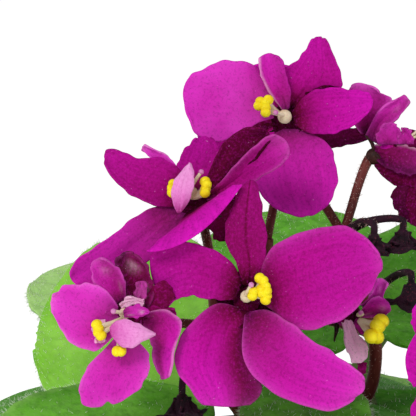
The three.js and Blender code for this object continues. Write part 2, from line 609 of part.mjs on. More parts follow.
const plant = new THREE.Group();
plant.add(pot(), soil(), crown(), display);
LEAVES.forEach((spec, index) => plant.add(leaf(spec, index)));
for (const [name, spec] of Object.entries(STALKS)) plant.add(flowerStalk(name, spec, blooms));

export default plant;
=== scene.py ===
import math

import bpy
import numpy as np
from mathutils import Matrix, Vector


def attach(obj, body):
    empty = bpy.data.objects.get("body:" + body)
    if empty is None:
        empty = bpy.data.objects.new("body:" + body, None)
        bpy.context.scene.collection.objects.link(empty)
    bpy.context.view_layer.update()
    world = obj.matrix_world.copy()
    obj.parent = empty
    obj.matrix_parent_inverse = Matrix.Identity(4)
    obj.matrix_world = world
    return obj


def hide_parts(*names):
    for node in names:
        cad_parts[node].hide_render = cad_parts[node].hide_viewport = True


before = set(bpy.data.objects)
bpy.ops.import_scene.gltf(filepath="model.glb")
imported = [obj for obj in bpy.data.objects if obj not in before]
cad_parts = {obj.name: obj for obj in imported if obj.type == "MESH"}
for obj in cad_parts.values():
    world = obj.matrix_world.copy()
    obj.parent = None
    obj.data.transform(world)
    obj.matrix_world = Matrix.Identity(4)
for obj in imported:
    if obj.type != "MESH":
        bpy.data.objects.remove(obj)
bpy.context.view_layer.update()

# A potted African violet: a clay pot of potting mix, quilted hairy leaves on fleshy stalks, and
# branched dark stalks of velvety magenta blooms, fresh and spent. The plant's tables are in
# millimetres and degrees, as the solids' are. Meshes, the floor and the lights are in metres.
MM = 0.001
SHOOT_SEED = 20

# ---- The plant's dimensions ----
POT = dict(height=80, base=37, rim=52, wall=4.5, band=17, lip=3, floor=6, sides=96)
# The radius of the ring, about the axis, that a turned form starts and ends with.
TINY = 0.05
DRAIN = dict(radius=3.5, out=20, count=4, sides=32)
SOIL = dict(top=70, dome=3, gap=0.5, lump=0.5, settled=0.5, brim=0.93, tuck=0.07, skirt=16,
            clear=1.5, bare=13)
CRUMBS = dict(count=260, least=0.5, most=1.4)
PERLITE = dict(count=60, least=0.6, most=1.3)
CROWN = dict(foot=62, top=91, radius=9, top_radius=4.2, shoulder=82.9, sides=24)
HEART = dict(headings=(57, 118, 303), length=9, width=5, thickness=1.0, pitch=74, out=0.8, sunk=1.6,
             yellow=0.8)
LEAF = dict(thickness=1.0, belly=0.4, heel=0.5, tip=0.604, veins=6.5, teeth=12, tooth=0.45, valley=1.1,
            quilt=0.45, ridge=0.35, wave=0.5, rows=46, columns=44)
LEAF_STALK = dict(radius=1.9, root=4.5, low_root=12, high_root=7, climb=0.45)
PETAL = dict(thickness=0.5, neck=1.5, ripple=0.22, dent=0.16, crease=0.3, shoulder=38)
TUBE = dict(radius=2.1, length=3)
THROAT = dict(reach=3.2, eye=0.5, depth=1.9, rise=1.7, thickness=0.4)
OVARY = dict(share=0.85, radius=1.25, length=1.35, ahead=1.1, lean=0.12)
STYLE = dict(radius=0.42, taper=0.12, neck=1.2)
STIGMA = (0.5, 0.5, 0.42)
ANTHER = dict(radius=1.15, lift=1.5, apart=0.37, filament=0.42, flare=0.1, bend=0.35)
TRUNK = dict(radius=1.2, root=3.2)
PEDICEL = dict(radius=0.85, bud=1.6, neck=3, gap=0.3)
SEPAL = dict(count=5, length=4.6, radius=0.9, thickness=0.4)

# How many hairs each piece has, and how thick and long they are.
HAIRS = dict(fringe=420, coat=900, leaf_stalk=160, trunk=320, pedicel=220, spent=60)
HAIR_RADIUS = dict(leaf=0.05, stem=0.045)
LONGEST_HAIR = dict(leaf_stalk=1.2, stalk=1.1)

# The view of the photograph: how far it looks down, the place that it aims at in the pot's frame, how
# far off it stands, and how wide a strip it shows there. The far clip is in metres.
VIEW_TILT = math.radians(14)
VIEW_CENTRE = np.array((-16.6, -20, 140.0))
VIEW_DISTANCE = 700
VIEW_WIDTH = 74.88
TO_VIEWER = (0, 0, 1)
SENSOR = 36
FAR_CLIP = 20

FLOOR_SIZE = 12
FLOOR_GLOW = 0.6
WORLD_GLOW = 0.38
LIGHT_AIM = (0, 0, 0.13)
LIGHTS = {
    "key": dict(place=(-0.35, -0.55, 0.75), size=0.3, watts=3.9),
    "fill": dict(place=(0.6, -0.5, 0.4), size=0.5, watts=0.9),
}

# Leaves, the upper ones first: laid out as the solids are, some of them tilted or hung a little
# differently, then how yellow each is and how much painted shade darkens it.
LEAF_WORDS = ("heading", "out", "up", "length", "width", "pitch", "roll", "droop", "cup", "yellow", "dusk")
LEAVES = [
    (174, 14, 110.4, 35.4, 46, 0, -40, 3, 2, 0.85, 0.0),
    (149, 22, 107.4, 37, 27, 12, -18, 2, 2, 2.0, 0.0),
    (89, 14, 106.5, 50, 38, 19, 0, 4, 3, 0.3, 0.1),
    (25, 19.5, 114, 45, 46.5, 4, 22, 4, 2, 0.32, 0.0),
    (272, 14, 106, 34, 24, -8, 0, 5, 1, 0.3, 0.2),
    (318, 20, 102, 32, 26, -4, 0, 4, 2, 0.1, 0.45),
    (228, 23, 98.5, 53, 48, -2, -17, 4, 2, 0.45, 0.1),
    (335, 31, 94, 50, 42, -6, 4, 5, 2, 0.2, 0.5),
    (60, 26, 94.5, 50, 42, -12, 2, 6, 2, 0.3, 0.3),
    (167, 28, 96, 50, 44, -12, 0, 6, 2, 0.3, 0.4),
    (4, 40, 88, 54, 44, -9, 0, 8, 2, 0.3, 0.4),
    (48, 38, 89.5, 54, 44, -11, 0, 8, 2, 1.7, 0.0),
    (94, 38, 88, 56, 46, -9, 0, 8, 2, 0.5, 0.0),
    (141, 38, 92, 54, 44, -9, 0, 8, 2, 0.3, 0.4),
    (192, 38, 88, 56, 46, -9, 0, 8, 2, 0.3, 0.5),
    (262, 36, 88, 55, 46, -10, 0, 8, 2, 0.3, 0.4),
    (304, 38, 90, 54, 46, -11, 0, 8, 2, 0.3, 0.4),
]


def lobe(tip, width, belly, bow, cup, **more):
    """A lobe of a plain form: its tip from the centre of the mouth, its width, where it is widest,
    and how it bows and cups. More may say how wavy it is and how dark, with painted shade and its own
    dark tone, as for a petal, which way its side lies, and how deeply it folds."""
    return dict(tip=tip, width=width, belly=belly, bow=bow, cup=cup, **more)


def petal(left, right, near, **more):
    """A lobe drawn by its outline. Left and right are its two edges from root to tip, as the viewer
    sees them when its tip points up, from the centre of the mouth, and near is how far its root,
    middle and tip stand towards the viewer. More may say how its edges cup, how wavy they are
    (ruffle), how far its tip is rounded (bulge) or cut in (notch), how dark it is on its right and
    left, with painted shade and its own dark tone (dusk), how bright all over, with its
    own paler colour and painted light (wash), how pale at its margin (pale), how white
    all over (white), along its left edge as a painted highlight (rim) or in two spots that are partly its
    own pale marks and partly painted highlights (patch), and how dark its midrib (rib)."""
    return dict(left=left, right=right, near=near, **more)


# Blooms: the centre of each mouth from the middle of the view, and the way that it faces, as right, up
# and towards the viewer. Its lobes, its anther heads, the end of its style and its petaloid are
# measured from that centre in the same way. Where a bloom isn't as usual, throat is the reach of its
# throat, ovary and anther_size are shares of a size, filament is a radius and neck a length, and
# sepal_turn turns its calyx.
BLOOMS = {
    "a": dict(
        centre=(6.8, -16.2, 12),
        facing=(-0.1, 0.25, 1),
        lobes=[
            petal([(2.1, 2.3), (2.8, 6.4), (5.1, 9.9), (9.5, 11.8), (15.9, 13.2), (20.7, 11.3), (22.9, 8.1)],
                  [(2.1, -0.4), (4.4, -1.8), (7.4, -4.9), (12.7, -5.1), (17.5, -3), (21.2, 0.5), (23.3, 4.6)],
                  (0.7, 1.9, 1), cup=0.7, ruffle=0.1, dusk=0.2, pale=0.25),
            petal([(0.7, -2.1), (3.2, -1.6), (6.6, -3.3), (11.6, -7), (17.3, -10.6), (20.5, -14.1)],
                  [(-0.4, -2.5), (-0.7, -5.8), (-0.7, -9.7), (1.8, -14.3), (9.4, -18.5), (15.9, -19.2),
                   (19.1, -17.3)],
                  (0.8, 2.6, 2.4), cup=0.4, ruffle=0.55, pale=0.4, wash=0.08),
            petal([(0.4, -2.3), (0.3, -4.8), (0.4, -7.4), (1.6, -11.3), (2.8, -15.9), (0.7, -18.5)],
                  [(-1.4, -1.4), (-4.8, -0.5), (-8.3, -2.6), (-11.6, -6.4), (-12.9, -10.9), (-10.2, -15.4),
                   (-7.6, -18.5)],
                  (0.3, 1, 1.4), cup=0.3, ruffle=0.35, pale=0.2, dusk=(0.0, 0.85), bulge=0.06),
            petal([(-1.8, 0), (-4.2, -0.2), (-7.2, 0.2), (-10.8, 0.7), (-13.8, -1.1)],
                  [(-0.7, 2.9), (-2.2, 6.3), (-5.8, 8.8), (-10.8, 10.2), (-14.6, 9.4), (-17.1, 7.8)],
                  (0.3, 1.2, 1.6), cup=0.6, dusk=(0.3, 0.25), bulge=0.12),
            petal([(-0.7, 2.6), (-2.1, 6.9), (-3.9, 10.6), (-3.2, 15), (-1.1, 19.9)],
                  [(1.8, 2.3), (3.2, 6.9), (3.7, 10.2), (3, 15.2), (2.1, 20.5)],
                  (0.6, 2.4, 3.6), cup=-0.9, dusk=(0.5, 0.55), rib=1.0),
        ],
        throat=5.5, ovary=0.9,
        anthers=[(2.6, 3.6, 3.4), (3.4, 2, 3.8), (3.4, 0.4, 3.4), (1.1, 1.1, 3.8), (2.6, 1.5, 3.4)],
        style=(0.8, 2.7, 4.4),
    ),
    "b": dict(
        centre=(14.4, 16.2, -5),
        facing=(-0.25, 0.2, 1),
        lobes=[
            petal([(-2.4, 0), (-5.2, -0.7), (-7.6, -2.2), (-12.9, -4.3), (-16.3, -2.9), (-17.9, 0.9)],
                  [(-2.2, 2.2), (-3.6, 5.4), (-5.8, 9.4), (-9, 10.5), (-13.8, 9.8), (-17.4, 7.8)],
                  (0.8, 2, 2.2), cup=0.5, ruffle=0.25, bulge=0.2, wash=0.75),
            petal([(1.4, -1.8), (4.3, -2.9), (7.1, -4.2), (8.9, -8.5), (8.7, -12.7), (6.9, -15.4)],
                  [(-0.7, -1.8), (-3.3, -3.3), (-5.8, -6.2), (-6, -11.2), (-4.3, -14.5), (-0.7, -16.7)],
                  (0.6, 1.4, 2.4), cup=0.4, ruffle=0.25, bulge=0.25, notch=0.3, wash=0.2),
            petal([(0.7, 1.1), (2.5, 3.6), (5.4, 5.3), (10.3, 5.4), (14.8, 4.3)],
                  [(1.1, -1.1), (3.3, -2.5), (6.9, -2.9), (10.5, -2), (14.3, 0.9)],
                  (0.8, 1.9, 1.4), cup=0.6),
            petal([(-0.7, 1.8), (-1.4, 5.4), (-0.4, 8.9), (2.5, 11.4), (4.7, 14.3)],
                  [(2.2, 2.2), (6.7, 3.6), (10.1, 6.2), (9.1, 9.4), (7.8, 12.3), (6.5, 14.5)],
                  (0.2, 0.9, 0.4), cup=0.5, dusk=(0.25, 0.15), ruffle=0.2),
            petal([(-0.7, 1.1), (-2.2, 3.1), (-4, 6), (-5.1, 8.7), (-4.9, 10.7)],
                  [(0.4, 1.8), (0.5, 4.7), (-0.2, 7.2), (-0.7, 9.4), (-1.8, 11)],
                  (1, 2.2, 3), cup=0.9, dusk=(0.3, 0.0), rim=0.55, wash=0.3),
            # A thin sliver painted dark all over: painted shadow in the gap where the upper right lobe
            # overlaps the right one.
            petal([(3.2, 4.3), (6, 5.9), (9.4, 5.7)], [(3.6, 3.6), (6, 4.3), (9.2, 4.4)],
                  (1.3, 1.6, 1.4), cup=0, dusk=1.0, bulge=0),
        ],
        ovary=1.05,
        anthers=[(-5.1, 2.6, 4), (-3.8, 3, 4.2), (-4, 1.4, 4.4)],
        style=(-2.2, 1, 4.2),
    ),
    "c": dict(
        centre=(-2.7, 1.4, 6),
        facing=(-0.25, 0.62, 0.74),
        lobes=[
            petal([(-1.2, -1.1), (-4.1, -1.2), (-7.7, -0.7), (-11.2, 1.1), (-14.1, 3.9), (-15.5, 6.6)],
                  [(-0.9, 1.4), (-2.3, 5.4), (-5.5, 7.5), (-10.5, 7.5), (-13.7, 9.1), (-15.5, 8.6)],
                  (0.4, 1.2, -1), cup=1, dusk=(0.3, 0.35)),
            petal([(0.2, -2.4), (-3.2, -6.4), (-8.6, -11.3), (-13.7, -14.4), (-18, -15.3)],
                  [(-3, -0.9), (-7.7, -1.4), (-12.3, -4.5), (-17, -8.2), (-20.5, -10.4), (-21.8, -12.9)],
                  (0.2, 1.6, 2.5), cup=0.4, dusk=(0.0, 0.2), wash=0.25),
            petal([(1.2, -1.1), (3.9, 0.5), (7, 2.7), (8.6, 3.0)],
                  [(-1.2, -2.1), (-3, -4.6), (-6.2, -7.1), (-8.4, -9.1)],
                  (1.2, 6.5, 10.4), cup=0.3, bulge=0.15),
            petal([(1.2, 1.8), (3.4, 5.7), (5.2, 9.6), (8.4, 12.3), (11.9, 12.6)],
                  [(2.3, 0.2), (5.5, 2.2), (8.8, 5), (11.6, 8), (13.6, 10.8)],
                  (0.2, 0.6, 3.2), cup=1.6, dusk=(1.0, 0.85)),
            petal([(-0.2, 1.4), (-2.4, 4.5), (-2.7, 6.9), (-1.3, 9.5), (0.7, 10.9)],
                  [(2, 1.8), (4.1, 5.4), (5.2, 7.7), (4.6, 9.6), (3, 11.1)],
                  (0.2, -2.6, -6), cup=0.8, dusk=(0.3, 0.2)),
            petal([(2, 0.8), (5.2, 3.6), (8.6, 7.2), (12, 10.4), (14.4, 11.4)],
                  [(2.4, 0), (6.4, 1.1), (10.6, 3.2), (14.2, 5.4), (16.8, 7.6)],
                  (0.6, 1.6, 4.6), cup=1.2, dusk=(0.3, 0.45), ruffle=0.2, pale=0.35),
            petal([(-4.1, 4), (-6.4, 6.4), (-9.1, 8.9)],
                  [(-2.6, 5.8), (-4.2, 7.7), (-8.9, 9.8)],
                  (-1.4, -1.8, -3), cup=0.3, pale=2.0, wash=0.5),
            petal([(3.6, 0.6), (8, 1), (8.2, -3.2), (6.2, -6.9)],
                  [(1.4, -2), (2.3, -4.2), (4, -6.8)],
                  (-1, -2, -2.6), cup=0.5, dusk=(0.7, 0.95), ruffle=0.2),
        ],
        throat=2.6,
        anthers=[(-3.6, 1.6, 3.2), (-3.5, 2.5, 3), (2.2, 1.6, 3.6), (2.3, 3, 3.4)],
        style=(1.5, 5, 2.6),
        petaloid=petal([(-2.7, -2.5), (-3.5, -0.9), (-3.9, 1.8), (-3, 4.1), (-1.2, 6.1)],
                       [(-2.1, -2.3), (-0.7, -0.5), (0.2, 2.1), (0.4, 4.5), (-0.2, 6.6)],
                       (4.6, 6.4, 6), cup=-0.9),
    ),
    "d": dict(
        centre=(-14, -18.7, 14),
        facing=(-0.3, 0.1, 1),
        lobes=[
            petal([(-1.4, -1.8), (-3.2, -4.6), (-5.8, -6.5), (-8.8, -5.8), (-11.6, -3), (-13.2, 0)],
                  [(-1.8, 1.2), (-3.2, 3.5), (-5.5, 5.3), (-8.5, 5.3), (-11.3, 5.1), (-13.1, 3.4)],
                  (0.6, 1.8, 1.6), cup=0.5, pale=0.8, ruffle=0.3, bulge=0.2, wash=0.45),
            petal([(0.7, -4.1), (3.2, -6.2), (3.9, -8.6), (2.5, -12.2), (0, -14.8)],
                  [(-2.1, -3.7), (-4.2, -6), (-6.4, -8.1), (-8.3, -11.6), (-8.6, -15.2), (-7.4, -16.2)],
                  (0.8, 2, 1.8), cup=0.3, pale=0.5, notch=0.9, bulge=0.1, ruffle=0.25, wash=0.45),
            petal([(2.6, 0.2), (6.7, 0.8), (9.4, -1.4), (8.9, -4), (7.8, -6), (7.6, -8.6), (7, -10.8)],
                  [(1.8, -1.4), (3.4, -3.6), (4.2, -6.4), (4.8, -9.2), (5.8, -11.4)],
                  (0.3, 1, 0.8), cup=0.7, dusk=(0.8, 0.0), rim=0.25, pale=0.35, ruffle=0.3, wash=0.1),
            petal([(2.5, 1.1), (4.6, 1.4), (6.7, 1.1), (8, 0.6)],
                  [(2.8, -1.4), (4.6, -2), (6.6, -1.6), (8.2, -0.6)],
                  (0.2, 0.4, 0.2), cup=0.5, dusk=(0.5, 0.6)),
            petal([(0, 1.4), (-0.6, 4), (-1.9, 6.2), (-2.1, 9.4), (-0.9, 10.2)],
                  [(3.6, 1.2), (4.5, 3.9), (4.1, 6.6), (2.7, 9), (1.1, 10.2)],
                  (0.8, 0.4, 2.4), cup=1, dusk=(0.75, 1.0), patch=0.4, ruffle=1.3, bulge=0.4, pale=0.1),
            petal([(1.7, 2), (1.2, 3.6), (1.7, 5.4)], [(2.6, 2), (3.2, 3.8), (2.7, 5.6)],
                  (1.6, 1.4, 1.8), cup=0.6, dusk=(0.45, 0.6), wash=0.35, white=0.05, ruffle=0.2),
            petal([(-1.6, 1.6), (-0.4, 2.7), (1.2, 2.9), (2.6, 2.4)],
                  [(-1.2, 0.9), (0.2, 1.6), (1.4, 1.7), (2.6, 1.6)],
                  (2, 2.6, 2.2), cup=0.4, wash=0.8, white=0.75, ruffle=0.6),
            petal([(-4.1, -0.8), (-3.9, -2.6), (-4.2, -4.6)], [(-5.8, -1), (-6.3, -3), (-5.4, -4.9)],
                  (2, 2.4, 2.2), cup=0.6, wash=0.9, white=0.6, ruffle=0.2),
            petal([(-2.1, 1.8), (-4.4, 3.6), (-6.2, 6), (-6.6, 8.4)],
                  [(-0.5, 2.5), (-0.5, 5.4), (-2, 8.4), (-4.8, 9.7)],
                  (0.4, 1, 0.8), cup=0.7, dusk=(0.6, 0.25), pale=0.5, wash=0.1, patch=0.16, ruffle=0.15),
            petal([(-1, 0.6), (-0.4, 1.3), (1.6, 1.7), (3.4, 1.1)],
                  [(-0.8, -0.6), (0.4, -0.6), (2.2, -0.5), (3.6, 0.1)],
                  (3, 4.6, 4), cup=-0.8, wash=0.5, patch=0.7, dusk=(0.0, 0.3), ruffle=0.5),
            petal([(2.1, 1.8), (4.4, 4.9), (6, 5.8), (7.2, 4.4)],
                  [(2.8, 0.7), (5.3, 0.9), (7.4, 1.8), (7.9, 3)],
                  (0.2, 0.3, 0.4), cup=0.5, dusk=(0.8, 0.7)),
        ],
        anthers=[(-5.4, -2.1, 3.4), (-5, -3.4, 3.4), (-1.6, -6.4, 4.2)],
        style=(-2.6, 0.6, 4.4),
        petaloid=petal([(-3.4, -2.3), (-2.1, -0.9), (0, -0.7), (2.6, -1.8), (4.8, -3.2)],
                       [(-3.2, -3.4), (-1.9, -5.1), (0.2, -6), (2.5, -4.9), (4.9, -3.6)],
                       (4.6, 6.6, 5.8), cup=-1.2),
    ),
    "e": dict(
        centre=(34.4, 12, -7.6),
        facing=(0.8, 0.5, 0.1),
        lobes=[
            petal([(-5.8, 0.8), (-4.7, 3.8), (-3.1, 5.8), (-0.9, 7.3), (1.1, 8.5)],
                  [(-3.4, -0.6), (-2.4, 2), (-0.6, 3.8), (1, 5.4), (2, 7.4)],
                  (0.4, 1.4, 1.2), cup=0.8, dusk=(0.5, 0.25), wash=0.25, pale=0.5, patch=0.1, ruffle=0.25),
            petal([(-6.5, 1.5), (-8.7, 4.4), (-9.8, 7.6), (-8.7, 9.8)],
                  [(-4.3, 2.2), (-2.1, 5.8), (-0.7, 7.8), (-3.6, 9.3)],
                  (-0.8, -1.6, -2.6), cup=0.8, pale=0.8, dusk=0.45, ruffle=0.6, wash=0.1),
            petal([(-5.4, 0.4), (-8.7, -0.4), (-12.3, -1.1), (-15.2, -0.9)],
                  [(-5.4, 2.5), (-8.7, 2.5), (-12.3, 2.2), (-15.2, 1.6)],
                  (-1, -4, -7), cup=0.4, dusk=(0.8, 0.95), wash=0.06),
            petal([(-4.3, -0.5), (-1.8, -0.2), (1, -0.4), (3.7, -1.3)],
                  [(-4, -3.3), (-2.1, -4.7), (0.4, -5.8), (3, -6.2)],
                  (0.6, 2.4, 3), cup=-0.7, dusk=(1.0, 0.7), rim=0.5, wash=0.07, pale=0.12),
            petal([(-3.8, -2.4), (-0.3, -4.4), (2.6, -5), (4.4, -5)],
                  [(-4.1, -4.4), (-2.2, -6.8), (1, -8.6), (3.8, -9.4)],
                  (0.2, 0.6, 0.8), cup=-0.4, dusk=(0.95, 0.8), ruffle=0.3),
            petal([(-3.6, -0.6), (-3.9, 1.3), (-2.4, 3)], [(0.2, -0.5), (0.5, 0.9), (0, 2.6)],
                  (2.4, 2.8, 3), cup=0.5, dusk=(0.35, 0.5), wash=0.3, pale=0.2, ruffle=0.15),
            petal([(0, -0.5), (0.2, 1.1), (1, 2.3)], [(3, -0.5), (2.6, 0.9), (1.9, 2.2)],
                  (2.6, 3, 3.2), cup=0.5, dusk=(0.3, 0.5), wash=0.3, pale=0.2, ruffle=0.15),
            petal([(-3, -0.5), (0, 1.6), (3, 2.2), (7, 2.4)], [(-1, -3), (3, -3), (7, -2), (9, 1)],
                  (-1.5, -3, -4), cup=0.8, dusk=0.6),
            petal([(4.2, -7), (5.4, -10), (5, -13.4)], [(0.4, -7.6), (-1, -9), (-0.8, -11.6), (0.8, -14)],
                  (0.2, 1.4, 0.8), cup=-1, dusk=(1.0, 0.9), wash=0.04, ruffle=0.6),
            petal([(4.8, -8), (6.4, -10.6), (6.6, -13.8)], [(2, -8), (1.6, -11), (2.4, -14.8)],
                  (0.6, 2, 1.8), cup=0.9, dusk=(0.9, 1.0), ruffle=0.6),
        ],
        throat=2.2, ovary=0.4, filament=0.22, neck=1.2,
        anthers=[(4.9, 3, -1), (5.7, 1.8, -1.4)],
        style=(1.9, 1, 0),
    ),
    "f": dict(
        centre=(26.1, -19.3, 2),
        facing=(0.62, 0.1, 0.78),
        lobes=[
            petal([(1.1, 1.8), (3.3, 4), (3.8, 6.4)], [(2.2, 1.2), (5.2, 3.2), (5.9, 5.9)],
                  (0.4, 1, 0.8), cup=0.6, wash=0.35, dusk=(0.4, 0.15), ruffle=0.4, pale=0.7, patch=0.2),
            petal([(0.9, 0.4), (3.2, 3.2), (5.4, 3.3), (6.5, 2)],
                  [(0.6, -0.6), (3.2, -0.3), (5.4, -0.1), (6.6, 0.7)],
                  (0.8, 2.6, 2.4), cup=-0.9, wash=0.1, dusk=(0.9, 0.3), pale=0.8, ruffle=0.4, bulge=0.15,
                  patch=0.2),
            petal([(-0.5, -0.7), (0, -1.8), (0.9, -3.4), (2.5, -5.8), (2.7, -6.8)],
                  [(-2, -0.6), (-1.6, -3.4), (-1.3, -6.1), (-0.4, -8.2)],
                  (0.6, 1.8, 1.4), cup=0.7, wash=1.0, white=0.75, ruffle=0.35),
            petal([(1, -7.4), (2.3, -9)], [(0.2, -7.6), (1.4, -10.6)], (0.4, 0.6, 0.6), cup=0.3, dusk=0.6),
            petal([(0.4, -0.4), (2, -0.6), (3.2, -1.6)], [(-0.2, -1.4), (1.2, -3), (2.6, -3.4)],
                  (0.8, 1.2, 0.8), cup=0.3, dusk=0.45, wash=0.25),
        ],
        throat=1.6, ovary=0.3, anther_size=1.5, filament=0.62, sepal_turn=58,
        anthers=[(4.5, -1.3, 4), (3.5, -3.6, 4.4)],
        style=(1.3, 0.5, 1.9),
    ),
    "g": dict(
        centre=(43.5, -27.5, 8),
        facing=(0.3, 0.4, 1),
        lobes=[
            lobe((-8.4, 1.4, 1.4), 11, 0.6, 1, 0.6),
            lobe((-4.2, 12.4, 0.6), 9.6, 0.6, 1, 0.6),
            lobe((8, 10.4, 0.4), 9.6, 0.6, 1, 0.6, dusk=0.2),
            lobe((13.2, -5.4, 1), 13, 0.62, 1, 0.5, ruffle=0.3),
            lobe((-1.4, -14.6, 1.6), 13.4, 0.62, 1, 0.5, ruffle=0.3),
        ],
        anthers=[(-1.3, 0.9, 3.4), (0.4, 1.2, 3.6)],
        style=(1.8, -1, 4.4),
    ),
}

# The plain pattern, for the blooms on the far side: each is turned about its middle by spin, then to
# the way that it faces.
PLAIN_LOBES = [
    lobe((13.8, -5.2, 1.6), 13, 0.62, 1, 0.5),
    lobe((0, -15.4, 1.2), 14, 0.62, 1, 0.5, ruffle=0.3),
    lobe((-13.8, -5.2, 1.6), 13, 0.62, 1, 0.5),
    lobe((-7.4, 10.4, 1), 9.6, 0.58, 1, 0.6, dusk=0.2),
    lobe((7.4, 10.4, 1), 9.6, 0.58, 1, 0.6, dusk=0.2),
]
PLAIN_ANTHERS = [(-1.1, -0.8, 3.4), (0.7, -0.8, 3.6)]
PLAIN_STYLE = (2.4, 1.6, 4.4)
FAR_BLOOMS = {
    "h": dict(centre=(12.4, 13.5, -30), facing=(-0.1, 0.5, -0.84), spin=12),
    "i": dict(centre=(54, 4, -10), facing=(0.86, 0.5, -0.1), spin=-20),
}

# Spent blooms: where each hangs in the view, how far its lobes droop and spread, and where the first of
# them lies about it.
SPENT_LOBES = dict(count=4, width=5.4, belly=0.55, bow=1.3, cup=-1.1, thickness=0.45, hook=1.4, hold=-0.45)
SPENT = {
    "r": dict(centre=(35.3, -3.6, -5), droop=5.2, spread=3.8, start=20),
    "s": dict(centre=(29.9, -4.4, -1), droop=5, spread=1.8, start=20),
    "t": dict(centre=(36.6, -13.2, 0), droop=7, spread=5.2, start=0),
    "u": dict(centre=(-4.6, -33, 5), droop=6.4, spread=3.8, start=40),
}

# Flower stalks: the heading and height of the foot in the crown, then the trunk and the pedicel to each
# bloom that it carries, as points in the pot's frame.
STALKS = {
    "p": dict(
        heading=238, height=88,
        trunk=[(-8, -13, 97), (-13.2, -18.5, 105), (-15, -20.5, 118), (-16, -21, 130)],
        carries={
            "c": [(-16, -21, 130)],
            "a": [(-15, -20.5, 118), (-11.8, -25, 120)],
            "d": [(-15, -20.5, 118), (-20, -24, 119.5), (-25, -28, 121)],
            "u": [(-14.6, -20, 114.5), (-19, -23.5, 115.5)],
        },
    ),
    "q": dict(
        heading=340, height=88,
        trunk=[(10, -3.4, 95), (14, -5, 103), (14.1, -8, 113), (10.8, -12, 126), (8, -14, 133.5)],
        carries={
            "e": [(8, -14, 133.5), (9.4, -13, 138)],
            "h": [(8, -14, 133.5), (6, -13.2, 136.6), (3.9, -11.8, 139.6), (1, -4, 142), (-2.5, 4, 143)],
            "r": [(8, -14, 133.5), (12.6, -15.5, 136.4)],
            "s": [(8, -14, 133.5), (11, -17, 136.6)],
            "f": [(13.2, -8, 113), (9.6, -13.5, 116)],
            "t": [(12.8, -9, 117), (15.6, -13, 124)],
        },
    ),
    "v": dict(
        heading=215, height=90,
        trunk=[(-5.5, -5.4, 97), (-6, -6.6, 105), (-6.4, -9.8, 114), (-6.2, -13, 125), (-5.8, -13, 132.5)],
        carries={"b": [(-5.8, -13, 132.5), (-4.4, -10, 139), (-2.4, -5.6, 147)]},
    ),
    "w": dict(
        heading=356, height=85,
        trunk=[(14, -2, 91), (27, -2, 95), (37, -3, 102), (38, -8, 110)],
        carries={
            "g": [(38, -8, 110), (34, -18, 112.5)],
            "i": [(38, -8, 110), (34, -9, 124)],
        },
    ),
}


# ---- Finishes ----
class Finish:
    """A node material, written as a chain of plain steps."""

    def __init__(self, name, **constants):
        self.material = bpy.data.materials.new(name)
        self.material.use_nodes = True
        self.tree = self.material.node_tree
        self.shader = self.tree.nodes["Principled BSDF"]
        for socket, value in constants.items():
            self.shader.inputs[socket.replace("_", " ")].default_value = value

    def node(self, kind, inputs=(), **settings):
        made = self.tree.nodes.new(kind)
        for name, value in settings.items():
            setattr(made, name, value)
        for key, value in dict(inputs).items():
            self.feed(made.inputs[key], value)
        return made

    def feed(self, socket, value):
        if isinstance(value, bpy.types.NodeSocket):
            self.tree.links.new(value, socket)
        else:
            socket.default_value = value

    def place(self):
        return self.node("ShaderNodeTexCoord").outputs["Object"]

    def uv(self):
        return self.node("ShaderNodeTexCoord").outputs["UV"]

    def trait(self, name):
        return self.node("ShaderNodeAttribute", attribute_name=name).outputs["Fac"]

    def stretched(self, vector, scale):
        return self.node("ShaderNodeMapping", {"Vector": vector, "Scale": scale}).outputs["Vector"]

    def noise(self, vector, scale, detail, roughness=0.55):
        made = self.node("ShaderNodeTexNoise",
                         {"Vector": vector, "Scale": scale, "Detail": detail, "Roughness": roughness})
        return made.outputs["Fac"]

    def cells(self, vector, scale):
        return self.node("ShaderNodeTexVoronoi", {"Vector": vector, "Scale": scale}).outputs["Distance"]

    def maths(self, operation, first, second=0.0, clamp=False):
        return self.node("ShaderNodeMath", {0: first, 1: second},
                         operation=operation, use_clamp=clamp).outputs[0]

    def spread(self, value, low, high, to_low=0.0, to_high=1.0):
        made = self.node("ShaderNodeMapRange", {"Value": value, "From Min": low, "From Max": high,
                                                "To Min": to_low, "To Max": to_high})
        return made.outputs["Result"]

    def blend(self, share, first, second):
        """The first colour going over to the second as the share goes from 0 to 1. A mix node names
        its sockets alike, so the colour ones are known by their number."""
        return self.node("ShaderNodeMix", {0: share, 6: first, 7: second}, data_type="RGBA").outputs[2]

    def layer(self, body, tone, value, low, high, most=1.0):
        """A tone over the body, none of it where the value is low and most of it where it is high."""
        return self.blend(self.spread(value, low, high, 0.0, most), body, tone)

    def along_and_across(self):
        """How far along a blade a place is, and how far it is from the middle (0) to an edge (1)."""
        parts = self.node("ShaderNodeSeparateXYZ", {"Vector": self.uv()})
        off = self.maths("SUBTRACT", parts.outputs["Y"], 0.5)
        return parts.outputs["X"], self.maths("MULTIPLY", self.maths("ABSOLUTE", off), 2.0)

    def colour(self, value):
        self.feed(self.shader.inputs["Base Color"], value)

    def rough(self, value):
        self.feed(self.shader.inputs["Roughness"], value)

    def raised(self, height, distance, strength):
        bump = self.node("ShaderNodeBump",
                         {"Height": height, "Strength": strength, "Distance": distance * MM})
        self.feed(self.shader.inputs["Normal"], bump.outputs["Normal"])


def shade(red, green, blue):
    return (red, green, blue, 1.0)


# Tones laid over the petals: a pale wash that is partly painted light, white, and painted glints.
PETAL_TONES = dict(wash=shade(0.78, 0.055, 0.60), white=shade(0.92, 0.60, 0.74), painted_glint=shade(0.9, 0.4, 0.8))


